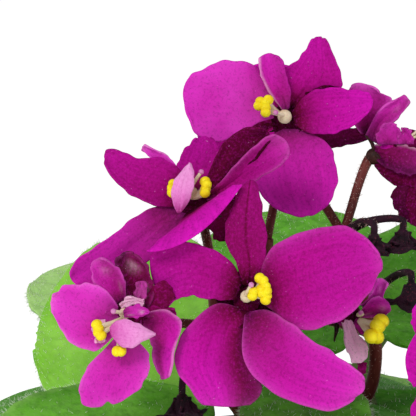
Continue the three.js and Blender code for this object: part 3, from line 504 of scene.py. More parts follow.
def petal_finish(name, middle, margin, wine, heart):
    """Velvet: wine dark at the root, partly its own colour and partly painted shade, brighter outwards,
    softly mottled and faintly streaked, with painted shade, painted light and painted glints laid on.
    """
    look = Finish(name, Roughness=0.8, Sheen_Weight=0.02, Sheen_Roughness=0.35,
                  Sheen_Tint=shade(1.0, 0.45, 0.9), Specular_IOR_Level=0.06)
    along, across = look.along_and_across()
    place = look.place()
    streaks = look.noise(look.stretched(look.uv(), (1.4, 15, 1)), 1.0, 3.0, 0.6)
    grain = look.noise(place, 2100, 3.0, 0.75)
    cloud = look.noise(place, 130, 2.0)
    outwards = look.maths("MAXIMUM", look.maths("MULTIPLY", across, 0.8), along)
    body = look.layer(middle, margin, outwards, 0.3, 1.0, 0.85)
    body = look.layer(body, margin, cloud, 0.36, 0.66, 0.35)
    body = look.layer(body, heart, streaks, 0.4, 0.72, 0.3)
    rib = look.maths("MULTIPLY", look.spread(across, 0.0, 0.1, 1.0, 0.0), look.trait("rib"))
    # Darker towards the root, partly the lobe's own deeper colour and partly painted shade where the lobes
    # meet; the lobe's painted shade and its darker midrib add to it.
    near_root = look.maths("POWER", look.spread(along, 0.04, 0.62, 1.0, 0.0), 1.7)
    shadow = look.maths("MAXIMUM", near_root, look.trait("dusk"))
    shadow = look.maths("ADD", shadow, look.maths("MULTIPLY", rib, 0.25), clamp=True)
    body = look.layer(body, wine, shadow, 0.0, 0.7, 0.92)
    body = look.blend(look.maths("POWER", shadow, 2.6), body, heart)
    # A pale wash, partly the lobe's own paler colour and partly painted light.
    wash = look.maths("MULTIPLY", look.trait("pale"), look.spread(cloud, 0.3, 0.6, 0.45, 1.0), clamp=True)
    body = look.blend(wash, body, PETAL_TONES["wash"])
    body = look.blend(look.trait("white"), body, PETAL_TONES["white"])
    body = look.layer(body, heart, grain, 0.5, 0.75, 0.45)
    body = look.blend(look.spread(grain, 0.25, 0.5, 0.3, 0.0), body, margin)
    # Painted glints: tiny sparse pale specks of light caught on the velvet.
    painted_glints = look.spread(look.noise(place, 2300, 1.0), 0.75, 0.8)
    body = look.blend(look.maths("MULTIPLY", painted_glints, 0.3), body, PETAL_TONES["painted_glint"])
    look.colour(body)
    look.raised(look.maths("ADD", grain, look.maths("MULTIPLY", streaks, 0.8)), 0.12, 0.4)
    return look.material


PETAL_LOOK = petal_finish("magenta velvet", shade(0.475, 0.002, 0.265), shade(0.66, 0.008, 0.47),
                          shade(0.20, 0.0015, 0.048), shade(0.05, 0.0, 0.008))
PETALOID_LOOK = petal_finish("pale petaloid", shade(0.80, 0.22, 0.62), shade(0.86, 0.38, 0.72),
                             shade(0.66, 0.12, 0.46), shade(0.50, 0.04, 0.30))

LEAF_TONES = dict(
    deep=shade(0.026, 0.26, 0.006), bright=shade(0.095, 0.50, 0.018),
    young=shade(0.23, 0.62, 0.03), young_bright=shade(0.40, 0.80, 0.11), palest=shade(0.60, 0.80, 0.40),
    dusk=shade(0.013, 0.08, 0.006), vein=shade(0.22, 0.44, 0.09), edge=shade(0.42, 0.62, 0.22),
    blotch=shade(0.012, 0.11, 0.004), grain=shade(0.26, 0.50, 0.15), hair=shade(0.45, 0.66, 0.33),
)


def leaf_finish():
    """Green, quilted between paler veins, more yellow on young leaves, silvered by short hairs."""
    look = Finish("leaf", Roughness=0.6, Sheen_Weight=0.03, Sheen_Roughness=0.4,
                  Sheen_Tint=shade(0.85, 1.0, 0.75), Specular_IOR_Level=0.12)
    tone = LEAF_TONES
    _, across = look.along_and_across()
    place = look.place()
    cloud = look.noise(place, 110, 3.0)
    grain = look.noise(place, 1300, 3.0, 0.7)
    green = look.layer(tone["deep"], tone["bright"], cloud, 0.3, 0.7)
    young = look.layer(tone["young"], tone["young_bright"], cloud, 0.3, 0.7)
    body = look.blend(look.maths("MINIMUM", look.trait("yellow"), 1.0), green, young)
    body = look.layer(body, tone["palest"], look.trait("yellow"), 1.0, 2.0, 0.6)
    # Painted shade on the leaves that lie in shade.
    body = look.layer(body, tone["dusk"], look.trait("dusk"), 0.0, 1.0, 0.65)
    body = look.layer(body, tone["vein"], look.trait("vein"), 0.0, 1.0, 0.22)
    body = look.layer(body, tone["edge"], across, 0.92, 1.0, 0.35)
    blotch = look.spread(look.noise(place, 520, 3.0, 0.7), 0.46, 0.68, 0.0, 0.5)
    on_green = look.spread(look.trait("yellow"), 0.2, 0.8, 1.0, 0.12)
    body = look.blend(look.maths("MULTIPLY", blotch, on_green), body, tone["blotch"])
    body = look.layer(body, tone["grain"], grain, 0.45, 0.75, 0.3)
    hair_dots = look.spread(look.cells(place, 900), 0.0, 0.14, 0.18, 0.0)
    body = look.blend(hair_dots, body, tone["hair"])
    look.colour(body)
    height = look.maths("ADD", grain, look.maths("MULTIPLY", look.cells(place, 420), 1.4))
    look.raised(height, 0.3, 0.5)
    return look.material


LEAF_LOOK = leaf_finish()


def plain_finish(name, first, second, scale, rough, lift, sheen=0.0, third=None, stretch=(1, 1, 1)):
    """Two tones mottled together, with a third in flecks, and a finer grain that stands up by lift."""
    look = Finish(name, Roughness=rough, Sheen_Weight=sheen, Sheen_Roughness=0.4, Specular_IOR_Level=0.2)
    place = look.stretched(look.place(), stretch)
    mottle = look.noise(place, scale, 4.0, 0.6)
    fine = look.noise(place, scale * 5, 3.0, 0.7)
    body = look.layer(first, second, mottle, 0.32, 0.68)
    if third:
        body = look.layer(body, third, fine, 0.58, 0.7, 0.8)
    look.colour(body)
    look.rough(look.spread(fine, 0.2, 0.8, rough - 0.1, min(1.0, rough + 0.1)))
    look.raised(look.maths("ADD", fine, mottle), lift, 0.7)
    return look.material


HAIR_LOOK = plain_finish("pale hair", shade(0.80, 0.90, 0.70), shade(0.92, 0.97, 0.85),
                         scale=300, rough=0.5, lift=0.01)
STEM_HAIR_LOOK = plain_finish("stem hair", shade(0.55, 0.34, 0.28), shade(0.75, 0.55, 0.48),
                              scale=300, rough=0.5, lift=0.01)
STEM_LOOK = plain_finish("dark stem", shade(0.075, 0.010, 0.009), shade(0.17, 0.03, 0.026),
                         scale=420, rough=0.5, lift=0.12, sheen=0.03,
                         third=shade(0.26, 0.08, 0.06), stretch=(1, 1, 0.3))
GREEN_STEM_LOOK = plain_finish("green stem", shade(0.10, 0.22, 0.04), shade(0.20, 0.32, 0.07),
                               scale=300, rough=0.5, lift=0.12, sheen=0.05,
                               third=shade(0.28, 0.16, 0.07), stretch=(1, 1, 0.4))
CALYX_LOOK = plain_finish("calyx", shade(0.018, 0.005, 0.005), shade(0.05, 0.012, 0.01),
                          scale=500, rough=0.55, lift=0.1, sheen=0.04, third=shade(0.12, 0.05, 0.03))
ANTHER_LOOK = plain_finish("anther", shade(0.86, 0.62, 0.003), shade(0.98, 0.85, 0.014),
                           scale=700, rough=0.5, lift=0.08, third=shade(1.0, 0.94, 0.12))
CREAM_LOOK = plain_finish("cream", shade(0.70, 0.56, 0.34), shade(0.85, 0.74, 0.55),
                          scale=700, rough=0.5, lift=0.06, third=shade(0.72, 0.30, 0.36))
STIGMA_LOOK = plain_finish("stigma", shade(0.75, 0.35, 0.60), shade(0.55, 0.10, 0.40),
                           scale=900, rough=0.4, lift=0.05)
SPENT_LOOK = plain_finish("spent petal", shade(0.008, 0.002, 0.006), shade(0.035, 0.005, 0.02),
                          scale=420, rough=0.7, lift=0.4, sheen=0.03, third=shade(0.17, 0.025, 0.05))
SOIL_LOOK = plain_finish("potting mix", shade(0.025, 0.014, 0.009), shade(0.07, 0.04, 0.024),
                         scale=260, rough=0.95, lift=0.8, third=shade(0.13, 0.08, 0.05))
PERLITE_LOOK = plain_finish("perlite", shade(0.75, 0.73, 0.68), shade(0.88, 0.87, 0.84),
                            scale=500, rough=0.9, lift=0.3)
CLAY_LOOK = plain_finish("clay", shade(0.42, 0.135, 0.062), shade(0.52, 0.19, 0.095),
                         scale=60, rough=0.85, lift=0.12, third=shade(0.60, 0.30, 0.18))


# ---- Making meshes ----
def deselect():
    bpy.ops.object.select_all(action="DESELECT")


def select_only(*pieces):
    deselect()
    for piece in pieces:
        piece.select_set(True)
    bpy.context.view_layer.objects.active = pieces[0]


def linked(name, data):
    """An object of its own for a mesh, a lamp or a camera, in the scene."""
    made = bpy.data.objects.new(name, data)
    bpy.context.scene.collection.objects.link(made)
    return made


def faceted(name, corners, faces, look):
    """Loose faces between corners that are given in millimetres."""
    mesh = bpy.data.meshes.new(name)
    mesh.from_pydata((corners * MM).tolist(), [], faces)
    mesh.materials.append(look)
    return linked(name, mesh)


def sheet_grid(name, rows, columns, at, look, traits=None):
    """A grid whose corners are moved to at(s, a), in millimetres: s runs along it from 0 to 1 and a
    across it from -1 to 1. Traits are values for the finish, one for each corner."""
    deselect()
    bpy.ops.mesh.primitive_grid_add(x_subdivisions=rows, y_subdivisions=columns, size=2)
    piece = bpy.context.object
    piece.name = piece.data.name = name
    corners = np.empty(len(piece.data.vertices) * 3)
    piece.data.vertices.foreach_get("co", corners)
    x, y, _ = corners.reshape(-1, 3).T
    s, a = (x + 1) / 2, y
    piece.data.vertices.foreach_set("co", (at(s, a) * MM).ravel())
    for trait, value in (traits or {}).items():
        stored = piece.data.attributes.new(trait, "FLOAT", "POINT")
        stored.data.foreach_set("value", np.broadcast_to(value(s, a), s.shape).astype(np.float32))
    piece.data.materials.append(look)
    return piece


def apply_all(piece):
    select_only(piece)
    for modifier in list(piece.modifiers):
        bpy.ops.object.modifier_apply(modifier=modifier.name)


def rounded(piece):
    smooth = piece.modifiers.new("round", "SUBSURF")
    smooth.levels = smooth.render_levels = 1


def walled(piece, thickness):
    """The sheet gets its thickness below it, and its edges are rounded."""
    wall = piece.modifiers.new("wall", "SOLIDIFY")
    wall.thickness = thickness * MM
    wall.offset = -1
    rounded(piece)
    apply_all(piece)
    return piece


def merged(piece):
    """The piece with its doubled corners made one, and its faces turned outwards."""
    select_only(piece)
    bpy.ops.object.mode_set(mode="EDIT")
    bpy.ops.mesh.select_all(action="SELECT")
    bpy.ops.mesh.remove_doubles(threshold=0.002 * MM)
    bpy.ops.mesh.normals_make_consistent(inside=False)
    bpy.ops.object.mode_set(mode="OBJECT")
    return piece


def whole(name, pieces, body_slot, *nodes):
    """The pieces become one, smooth, which stands for the CAD nodes named."""
    select_only(*pieces)
    if len(pieces) > 1:
        bpy.ops.object.join()
    one = bpy.context.view_layer.objects.active
    one.name = one.data.name = name
    bpy.ops.object.shade_smooth()
    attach(one, "root")
    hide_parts(*nodes)


def unit(vectors):
    return vectors / np.maximum(np.linalg.norm(vectors, axis=-1, keepdims=True), 1e-9)


def smooth_way(points, steps):
    """Evenly spaced points on the centripetal curve through the given ones."""
    in_each_stretch = 20
    corners = np.array(points, float)
    corners = np.vstack([2 * corners[0] - corners[1], corners, 2 * corners[-1] - corners[-2]])
    knots = np.append(0, np.cumsum(np.linalg.norm(np.diff(corners, axis=0), axis=1) ** 0.5))
    dense = []
    for k in range(1, len(corners) - 2):
        t = np.linspace(knots[k], knots[k + 1], in_each_stretch, endpoint=False)[:, None]
        layer = [corners[k + j - 1][None] for j in range(4)]
        for reach in (1, 2, 3):
            layer = [
                ((knots[k + j - 1 + reach] - t) * layer[j] + (t - knots[k + j - 1]) * layer[j + 1])
                / (knots[k + j - 1 + reach] - knots[k + j - 1])
                for j in range(4 - reach)
            ]
        dense.append(layer[0])
    dense = np.vstack(dense + [corners[-2][None]])
    length = np.append(0, np.cumsum(np.linalg.norm(np.diff(dense, axis=0), axis=1)))
    even = np.linspace(0, length[-1], steps + 1)
    return np.column_stack([np.interp(even, length, dense[:, axis]) for axis in range(3)])


def ways_across(path):
    """Two ways across a path at each of its points, square to each other, which turn as little as
    they can."""
    tangent = unit(np.gradient(path, axis=0))
    helper = np.eye(3)[np.argmin(np.abs(tangent[0]))]
    sides = [unit(np.cross(tangent[0], helper))]
    for way in tangent[1:]:
        sides.append(unit(sides[-1] - np.dot(sides[-1], way) * way))
    side = np.array(sides)
    return side, np.cross(tangent, side)


def tube(name, points, radius, look, sides, steps):
    """A closed stem along a smooth curve, whose radius at t along it is radius(t)."""
    path = smooth_way(points, steps)
    side, rise = ways_across(path)
    share = np.linspace(0, 1, steps + 1)
    place = np.concatenate([[0], np.arange(steps + 1), [steps]])
    girth = np.concatenate([[0], radius(share), [0]])
    rows = steps + 2

    def at(s, a):
        ring = np.rint(s * rows).astype(int)
        turn = np.pi * a
        here = place[ring]
        out = np.cos(turn)[:, None] * side[here] + np.sin(turn)[:, None] * rise[here]
        return path[here] + girth[ring][:, None] * out

    return merged(sheet_grid(name, rows, sides, at, look))


def ball(name, centre, size, look, axis=(0, 0, 1), segments=12, rings=8):
    """A sphere stretched to size along x, y and its axis, as a seed or a bud is."""
    deselect()
    bpy.ops.mesh.primitive_uv_sphere_add(segments=segments, ring_count=rings, radius=1)
    piece = bpy.context.object
    piece.name = name
    turn = Vector((0, 0, 1)).rotation_difference(Vector(axis)).to_matrix()
    for corner in piece.data.vertices:
        stretched = Vector([c * k for c, k in zip(corner.co, size)])
        corner.co = (turn @ stretched + Vector(centre)) * MM
    piece.data.materials.append(look)
    return piece


def hair_mesh(name, roots, ways, lengths, radius, look):
    """One mesh of fine three-sided spikes, each from its root along its way."""
    ways = unit(ways)
    helper = np.where(np.abs(ways[:, 2:3]) < 0.8, [[0.0, 0, 1]], [[1.0, 0, 0]])
    side = unit(np.cross(ways, helper))
    rise = np.cross(ways, side)
    turns = [0, 2 * np.pi / 3, 4 * np.pi / 3]
    feet = [roots + radius * (np.cos(t) * side + np.sin(t) * rise) for t in turns]
    tips = roots + ways * lengths[:, None]
    corners = np.stack(feet + [tips], axis=1).reshape(-1, 3)
    faces = []
    for k in range(0, len(corners), 4):
        faces += [(k, k + 1, k + 3), (k + 1, k + 2, k + 3), (k + 2, k, k + 3), (k, k + 2, k + 1)]
    return faceted(name, corners, faces, look)


# ---- Pot and potting mix ----
def turned(name, profile, sides, look):
    """A profile of radius and height, spun round the pot's axis."""
    deselect()
    bpy.ops.mesh.primitive_circle_add(vertices=sides, radius=profile[0][0] * MM,
                                      location=(0, 0, profile[0][1] * MM))
    piece = bpy.context.object
    piece.name = name
    bpy.ops.object.transform_apply(location=True)
    bpy.ops.object.mode_set(mode="EDIT")
    bpy.ops.mesh.select_all(action="SELECT")
    for (radius, height), (next_radius, next_height) in zip(profile, profile[1:]):
        bpy.ops.mesh.extrude_region_move(
            TRANSFORM_OT_translate={"value": (0, 0, (next_height - height) * MM)})
        share = next_radius / radius
        bpy.ops.transform.resize(value=(share, share, 1), center_override=(0, 0, next_height * MM))
    bpy.ops.object.mode_set(mode="OBJECT")
    piece.data.materials.append(look)
    return piece


def make_pot():
    """The clay pot, turned, with its drain holes cut."""
    height, base, rim, wall = POT["height"], POT["base"], POT["rim"], POT["wall"]
    under, lip, floor = height - POT["band"], POT["lip"], POT["floor"]
    neck, inner = rim - lip, rim - wall
    profile = [
        (TINY, 0.6), (base - 6, 0.6), (base - 4.5, 0.15), (base - 1.2, 0), (base - 0.3, 0.35), (base, 1.2),
        (base + (neck - base) * 0.3, under * 0.3), (base + (neck - base) * 0.65, under * 0.65),
        (neck - 0.2, under - 1.2), (neck + 0.1, under - 0.2), (neck + 0.8, under + 0.1),
        (rim - 0.5, under + 0.35), (rim, under + 1.2), (rim - 0.15, under + 8), (rim, height - 2),
        (rim - 0.4, height - 0.6), (rim - 1.4, height), (inner + 1.2, height), (inner + 0.3, height - 0.4),
        (inner, height - 1.5), (inner - lip + 0.4, under + 1), (neck - wall, under - 1),
        (base - wall + 2, floor + 4), (base - wall - 1, floor + 0.8), (base - wall - 4, floor), (TINY, floor),
    ]
    piece = merged(turned("pot", profile, POT["sides"], CLAY_LOOK))
    rounded(piece)
    for k in range(DRAIN["count"]):
        turn = 2 * math.pi * k / DRAIN["count"]
        deselect()
        bpy.ops.mesh.primitive_cylinder_add(
            vertices=DRAIN["sides"], radius=DRAIN["radius"] * MM, depth=4 * floor * MM,
            location=(DRAIN["out"] * math.cos(turn) * MM, DRAIN["out"] * math.sin(turn) * MM, 0))
        drill = bpy.context.object
        cut = piece.modifiers.new("drain", "BOOLEAN")
        cut.operation = "DIFFERENCE"
        cut.object = drill
        apply_all(piece)
        bpy.data.objects.remove(drill)
    whole("pot", [piece], "clay", "pot")


def make_soil():
    """The domed mix, whose brim is tucked down along the pot, and the loose grains that lie on it."""
    draw = np.random.default_rng(SHOOT_SEED)
    above_band = SOIL["top"] - (POT["height"] - POT["band"])
    inside = POT["rim"] - POT["lip"] - POT["wall"] + POT["lip"] * above_band / POT["band"]
    reach = inside - SOIL["gap"]

    def surface(x, y):
        out = np.hypot(x, y) / reach
        heap = SOIL["top"] + SOIL["dome"] * np.sqrt(np.clip(1 - out ** 2, 0, 1))
        lumps = SOIL["lump"] * np.sin(0.9 * x + 1.3 * np.sin(0.7 * y)) * np.sin(1.1 * y + np.sin(0.8 * x))
        return heap + lumps * (1 - out ** 6) - SOIL["settled"]

    def at(s, a):
        out = reach * np.minimum(s * 1.08, 1)
        x, y = out * np.cos(np.pi * a), out * np.sin(np.pi * a)
        down = (s - SOIL["brim"]) / SOIL["tuck"] * SOIL["skirt"]
        z = np.where(s > SOIL["brim"], surface(x, y) - down, surface(x, y))
        return np.column_stack([x, y, z])

    heap = merged(sheet_grid("soil", 40, 110, at, SOIL_LOOK))
    if heap.data.polygons[0].normal.z < 0:
        heap.data.flip_normals()
    rounded(heap)
    apply_all(heap)
    pieces = [heap]
    for look, bits in ((SOIL_LOOK, CRUMBS), (PERLITE_LOOK, PERLITE)):
        grains = []
        for _ in range(bits["count"]):
            out = CROWN["radius"] + SOIL["clear"] + draw.random() ** 0.7 * (reach - SOIL["bare"])
            turn = 2 * math.pi * draw.random()
            x, y = out * math.cos(turn), out * math.sin(turn)
            size = draw.uniform(bits["least"], bits["most"])
            centre = (x, y, float(surface(x, y)) + size * 0.2)
            grains.append((centre, size * draw.uniform(0.7, 1.3, 3)))
        pieces.append(grain_mesh("grains", grains, look, draw))
    whole("soil", pieces, "soil", "soil")


def grain_mesh(name, grains, look, draw):
    """Small broken lumps in one mesh."""
    deselect()
    bpy.ops.mesh.primitive_ico_sphere_add(subdivisions=1, radius=1)
    model = bpy.context.object
    shape = np.array([corner.co for corner in model.data.vertices])
    cells = [tuple(face.vertices) for face in model.data.polygons]
    bpy.data.objects.remove(model)
    corners, faces = [], []
    for centre, size in grains:
        start = len(corners) * len(shape)
        corners.append(shape * draw.uniform(0.75, 1.2, shape.shape) * size + centre)
        faces += [tuple(start + k for k in cell) for cell in cells]
    return faceted(name, np.vstack(corners), faces, look)


# ---- Leaves ----
def turn_about(axis, angle):
    """The matrix of a turn, in degrees, about x, y or z."""
    c, s = math.cos(math.radians(angle)), math.sin(math.radians(angle))
    return np.array({
        "x": [(1, 0, 0), (0, c, -s), (0, s, c)],
        "y": [(c, 0, s), (0, 1, 0), (-s, 0, c)],
        "z": [(c, -s, 0), (s, c, 0), (0, 0, 1)],
    }[axis])


def leaf_surface(spec, s, a, veins=True):
    """The upper face of a leaf before it is pitched: out, left and up. The tissue is quilted between
    a midrib and side veins that run out and forward, and the edge has low rounded teeth."""
    length, width = spec["length"], spec["width"]
    edge = np.abs(a)
    off = (s - LEAF["belly"]) / np.where(s < LEAF["belly"], LEAF["heel"], LEAF["tip"])
    half = (width / 2) * np.sqrt(np.clip(1 - np.abs(off) ** np.where(off < 0, 2, 2.4), 0, 1))
    calm = np.minimum(1, half / (0.3 * width))
    beat = LEAF["teeth"] * s + 0.35 * np.sin(9 * s + np.sign(a))
    teeth = LEAF["tooth"] * (1 - np.abs(np.sin(np.pi * beat))) * edge ** 6
    half = half - teeth * calm ** 2
    back = 0.12 * np.sin(0.95 * np.pi * edge) * (1 - s) ** 3
    x = length * (s - back)
    valley = LEAF["valley"] * (1 - edge) ** 3 * (1 - s)
    across = a * half / (width / 2)
    z = spec["cup"] * across ** 2 * (0.4 + 0.6 * s) - spec["droop"] * s * s - valley
    if veins:
        ridge, quilt = leaf_veins(spec, s, a)
        z = z + (LEAF["quilt"] * quilt - LEAF["ridge"] * ridge) * calm
        wave = LEAF["wave"] * np.sin(2 * np.pi * (2.3 * s + 0.2 * np.sign(a)) + spec["heading"]) * edge ** 3
        z = z + wave * calm
    return np.column_stack([x, a * half, z])


def leaf_veins(spec, s, a):
    """How near a point is to a vein, from 0 to 1, and how far the tissue is raised between veins."""
    edge = np.abs(a)
    midrib = np.exp(-((edge * spec["width"] / 2) / 0.9) ** 2) * (1 - 0.6 * s)
    forward = s - 0.30 * edge ** 1.15
    beat = forward * LEAF["veins"] + 0.12 * np.sin(5 * a + spec["heading"])
    away = np.abs(beat - np.rint(beat)) * spec["length"] / LEAF["veins"]
    side = np.exp(-(away / 0.7) ** 2) * np.clip(1.25 - edge, 0, 1) * np.clip(6 * (forward + 0.25), 0, 1)
    cross = np.sin(np.pi * (edge * 7 + 2.2 * s)) ** 2
    halfway = spec["length"] / (2 * LEAF["veins"])
    quilt = np.sin(np.pi * np.clip(away / halfway, 0, 1) / 2) * (0.55 + 0.45 * cross)
    return np.maximum(midrib, 0.8 * side), quilt * (1 - edge ** 6) * (1 - midrib)


def leaf_placer(spec):
    """Takes points of a leaf to where it grows."""
    tilt = turn_about("y", -spec["pitch"]) @ turn_about("x", spec["roll"])
    heading = turn_about("z", spec["heading"])
    foot = np.array((spec["out"], 0, spec["up"]))
    return lambda local: (local @ tilt.T + foot) @ heading.T


def spaced(t):
    """Rows of a leaf, closer together towards its round tip."""
    return 1 - (1 - t) ** 1.7


def leaf_hairs(spec, put, draw):
    """Short pale hairs: a fringe along the edge, and a thinner coat on both faces."""
    def face(s, a):
        return put(leaf_surface(spec, s, a))

    def spots(s, a):
        along = face(np.minimum(s + 0.01, 1), a) - face(np.maximum(s - 0.01, 0), a)
        over = face(s, np.clip(a + 0.02, -1, 1)) - face(s, np.clip(a - 0.02, -1, 1))
        return face(s, a), unit(np.cross(along, over)), unit(over)

    count = HAIRS["fringe"]
    s = spaced(draw.random(count))
    sign = np.sign(draw.random(count) - 0.5)
    here, up, over = spots(s, sign)
    tipwards = face(np.minimum(s + 0.02, 1), sign) - here
    out = unit(over * sign[:, None] + 0.6 * (s ** 3)[:, None] * unit(tipwards))
    ways = out + 0.35 * draw.normal(size=out.shape) + 0.15 * up
    roots = here - 0.5 * up - 0.15 * out
    lengths = draw.uniform(0.7, 1.5, count)

    count = HAIRS["coat"]
    s, a = spaced(draw.random(count) * 0.97), draw.uniform(-0.97, 0.97, count)
    here, up, _ = spots(s, a)
    flip = np.where(draw.random(count) < 0.28, -1, 1)[:, None]
    roots = np.vstack([roots, np.where(flip > 0, here - 0.1 * up, here - 0.9 * up)])
    ways = np.vstack([ways, up * flip + 0.5 * draw.normal(size=up.shape)])
    lengths = np.append(lengths, draw.uniform(0.4, 0.95, count))
    return hair_mesh("leaf_hairs", roots, ways, lengths, HAIR_RADIUS["leaf"], HAIR_LOOK)


def make_leaf(index, numbers):
    """A blade, its stalk, which runs on under the midrib, and their hairs."""
    spec = dict(zip(LEAF_WORDS, numbers))
    put = leaf_placer(spec)
    name = f"leaf_{index + 1:02d}"
    blade = sheet_grid(
        name, LEAF["rows"], LEAF["columns"],
        lambda t, a: put(leaf_surface(spec, spaced(t), a)), LEAF_LOOK,
        dict(vein=lambda t, a: leaf_veins(spec, spaced(t), a)[0],
             yellow=lambda t, a: spec["yellow"] * (0.7 + 0.3 * spaced(t) ** 2),
             dusk=lambda t, a: spec["dusk"]))
    walled(blade, LEAF["thickness"])
    girth = LEAF_STALK["radius"]
    sunk = girth + LEAF["thickness"] * 0.35

    def under(share):
        flat = leaf_surface(spec, np.array([share]), np.array([0.0]), veins=False)
        return put(flat - (0, 0, sunk))[0]

    climbed = (spec["up"] - CROWN["top"]) * LEAF_STALK["climb"]
    below = max(LEAF_STALK["high_root"], LEAF_STALK["low_root"] - climbed)
    heading = turn_about("z", spec["heading"])
    root = np.array((LEAF_STALK["root"], 0, CROWN["top"] - below))
    knee = np.array((spec["out"] * 0.5 + 4, 0, root[2] + (under(0)[2] - root[2]) * 0.7))
    path = [heading @ root, heading @ knee, under(0.04), under(0.3), under(0.72) + (0, 0, 1.3)]

    def radius(t):
        return girth * (1.08 - 0.25 * t - 0.45 * np.clip((t - 0.5) / 0.5, 0, 1) ** 1.5)

    pieces = [blade, tube("stalk", path, radius, GREEN_STEM_LOOK, sides=12, steps=26)]
    draw = np.random.default_rng(SHOOT_SEED + index)
    pieces.append(leaf_hairs(spec, put, draw))
    pieces.append(stem_hairs(path[:4], girth, HAIRS["leaf_stalk"], draw, HAIR_LOOK,
                             LONGEST_HAIR["leaf_stalk"]))
    whole(name, pieces, "leaf", name)


def stem_hairs(points, radius, count, draw, look, longest):
    """Fine hairs that stand out from a stem."""
    steps = 60
    path = smooth_way(points, steps)
    side, rise = ways_across(path)
    spot = draw.integers(2, steps, count)
    turn = draw.uniform(0, 2 * np.pi, count)[:, None]
    out = np.cos(turn) * side[spot] + np.sin(turn) * rise[spot]
    ways = out + 0.3 * draw.normal(size=out.shape)
    return hair_mesh("stem_hairs", path[spot] + out * radius * 0.85, ways,
                     draw.uniform(0.4, longest, count), HAIR_RADIUS["stem"], look)


def make_crown():
    """The short stem that everything grows from, turned, with its small heart leaves."""
    radius, tip = CROWN["radius"], CROWN["top_radius"]
    foot, top = CROWN["foot"], CROWN["top"]
    profile = [
        (TINY, foot), (radius * 0.7, foot), (radius - 0.6, foot + 3), (radius - 0.3, 72), (radius - 0.8, 76),
        (radius - 0.2, 79), (radius - 0.6, CROWN["shoulder"]), (tip + 1.6, 87), (tip - 0.2, top - 0.6),
        (TINY, top),
    ]
    stump = merged(turned("crown", profile, CROWN["sides"], GREEN_STEM_LOOK))
    rounded(stump)
    apply_all(stump)
    pieces = [stump]
    tilt = turn_about("y", -HEART["pitch"])
    for heading in HEART["headings"]:
        turn = turn_about("z", heading)

        def at(s, a):
            half = (HEART["width"] / 2) * np.sin(np.pi * np.minimum(0.985, 0.12 + 0.87 * s))
            z = 0.16 * a * a * HEART["width"] - 1.2 * s * s + 0.15 * np.sin(9 * s) * np.abs(a)
            local = np.column_stack([s * HEART["length"], a * half, z])
            return (local @ tilt.T + (HEART["out"], 0, top - HEART["sunk"])) @ turn.T

        heart = sheet_grid("heart", 14, 10, at, LEAF_LOOK, dict(yellow=lambda s, a: HEART["yellow"]))
        pieces.append(walled(heart, HEART["thickness"]))
    whole("crown", pieces, "crown", "crown")


# ---- Blooms ----
# The view's ways right, up and towards the viewer, in the pot's frame.
RIGHT = np.array((1.0, 0, 0))
RISE = np.array((0, math.sin(VIEW_TILT), math.cos(VIEW_TILT)))
NEAR = np.array((0, -math.cos(VIEW_TILT), math.sin(VIEW_TILT)))
DISPLAY = np.stack([RIGHT, RISE, NEAR])


def shown(points):
    """Points that are given as right, up and near in the view, in the pot's frame."""
    return np.asarray(points, float) @ DISPLAY + VIEW_CENTRE


def spin_about(vectors, axis, angle):
    """The vectors turned about any axis, by an angle in degrees."""
    axis = unit(np.asarray(axis, float))
    c, s = math.cos(math.radians(angle)), math.sin(math.radians(angle))
    along = (vectors @ axis)[..., None] * axis
    return vectors * c + np.cross(axis, vectors) * s + along * (1 - c)


def lobe_surface(form, s, a, seed):
    """The face of a lobe, about the centre of its mouth: velvety, a little uneven, with a thin wavy
    margin."""
    edge = np.abs(a)
    fray = 0.14 * np.sin(23 * s + 5 * seed + 2 * a) + 0.1 * np.sin(41 * s + 9 * seed - 3 * a)
    ragged = fray * edge ** 5 * np.clip(6 * (s - 0.15), 0, 1)
    ripple = (PETAL["ripple"] + form.get("ruffle", 0)) * np.sin(9 * s + 5 * a + 7 * seed) * edge ** 3 * s
    dents = PETAL["dent"] * np.sin(7 * s + 4 * seed) * np.sin(5 * a + 3 * seed)
    crease = PETAL["crease"] * np.exp(-(a / 0.1) ** 2) * (1 - s)
    wave = ripple + dents - crease - form.get("fold", 0) * (1 - edge) ** 2 * s
    if "left" in form:
        return outlined(form, s, a, ragged, wave)
    tip = np.array(form["tip"], float)
    root = unit(tip)
    way = tip - root
    ahead = unit(way)
    side = form["side"] if "side" in form else np.cross(form.get("facing", TO_VIEWER), ahead)
    side = unit(np.array(side, float))
    face = unit(np.cross(ahead, side))
    belly = form["belly"]
    past = np.clip((s - belly) / (1 - belly), 0, 1)
    bend = np.pi / 2 - past * np.radians(PETAL["shoulder"])
    half = np.where(s < belly, np.sin((np.pi / 2) * np.clip(s / belly, 0, 1)) ** 0.75, np.sin(bend))
    half = np.maximum(half * form["width"] / 2, PETAL["neck"] * np.clip(1 - s / belly, 0, 1))
    margin_along = belly + (1 - belly) * np.cos(bend)
    round_off = (1 - np.cos(a * bend)) / (1 - np.cos(bend))
    along = np.where(s < belly, s, s - (s - margin_along) * round_off)
    lateral = a * half + np.sign(a) * ragged
    lift = form["bow"] * np.sin(np.pi * s) + form["cup"] * a * a * s + wave
    return root + along[:, None] * way + lateral[:, None] * side + lift[:, None] * face


def drawn(edge_points, s):
    """Points at s along a drawn edge."""
    steps = 60
    curve = smooth_way([(x, y, 0) for x, y in edge_points], steps)
    share = np.linspace(0, 1, steps + 1)
    return np.column_stack([np.interp(s, share, curve[:, axis]) for axis in (0, 1)])


